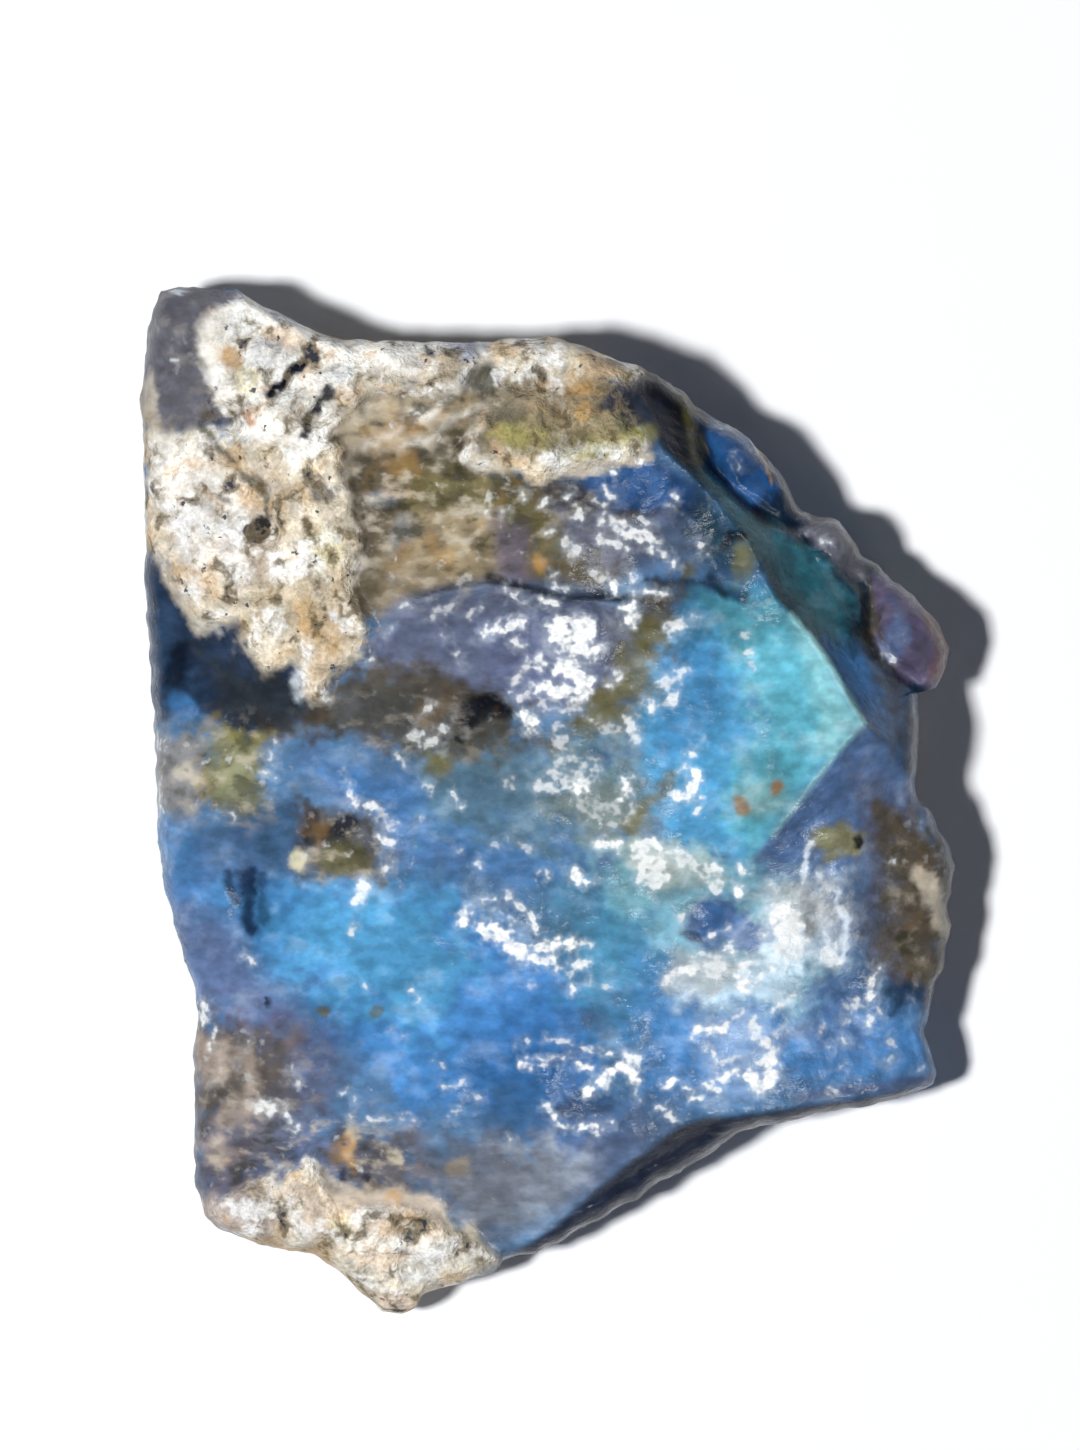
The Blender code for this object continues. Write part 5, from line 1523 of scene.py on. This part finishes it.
def add_light(name, direction, distance, size, power):
    """A square area light at the given direction and distance, aimed at the stone."""
    data = bpy.data.lights.new(name, "AREA")
    data.size = size
    data.energy = power
    light = bpy.data.objects.new(name, data)
    toward = Vector(direction).normalized()
    light.location = toward * distance
    light.rotation_euler = toward.to_track_quat("Z", "Y").to_euler()
    bpy.context.scene.collection.objects.link(light)
    return light


def around(turn, rise):
    """Direction at a turn from +X and a rise above the floor, both in degrees."""
    turn = math.radians(turn)
    rise = math.radians(rise)
    return (math.cos(turn) * math.cos(rise), math.sin(turn) * math.cos(rise), math.sin(rise))


def add_camera():
    """A long lens straight above the stone, framed like the picture."""
    data = bpy.data.cameras.new("camera")
    data.sensor_fit = "AUTO"
    data.sensor_width = SENSOR
    height = FRAME_HEIGHT * SCALE * METRES
    data.lens = SENSOR * (CAMERA_HEIGHT - CAMERA_FOCUS) / height
    data.clip_start = NEAREST_SEEN
    data.clip_end = FURTHEST_SEEN
    camera = bpy.data.objects.new("camera", data)
    x, y = place(FRAME_WIDTH / 2.0, FRAME_HEIGHT / 2.0)
    camera.location = (x * METRES, y * METRES, CAMERA_HEIGHT)
    bpy.context.scene.collection.objects.link(camera)
    bpy.context.scene.camera = camera


def add_world():
    world = bpy.data.worlds.new("world")
    world.use_nodes = True
    background = world.node_tree.nodes["Background"]
    background.inputs["Color"].default_value = (*linear(WORLD_COLOUR), 1.0)
    background.inputs["Strength"].default_value = WORLD_STRENGTH
    bpy.context.scene.world = world


surface = build_surface()
surface.data.materials.append(opal_material())
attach(surface, "root")
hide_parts("rough_opal")

add_floor()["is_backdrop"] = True
add_light("key", KEY_DIRECTION, KEY_DISTANCE, KEY_SIZE, KEY_POWER).visible_glossy = False
for direction in GLINT_DIRECTIONS:
    glint = add_light("glint", direction, GLINT_DISTANCE, GLINT_SIZE, GLINT_POWER)
    glint.visible_diffuse = False
for turn in FILL_TURNS:
    fill = add_light("fill", around(turn, FILL_RISE), FILL_DISTANCE, FILL_SIZE, FILL_POWER)
    fill.visible_glossy = False
add_world()
add_camera()
bpy.context.scene.view_settings.view_transform = "Standard"

sizes = {"cad": CAD_BOX, "dressed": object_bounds()}
sizes = {name: [list(corner) for corner in box] for name, box in sizes.items()}
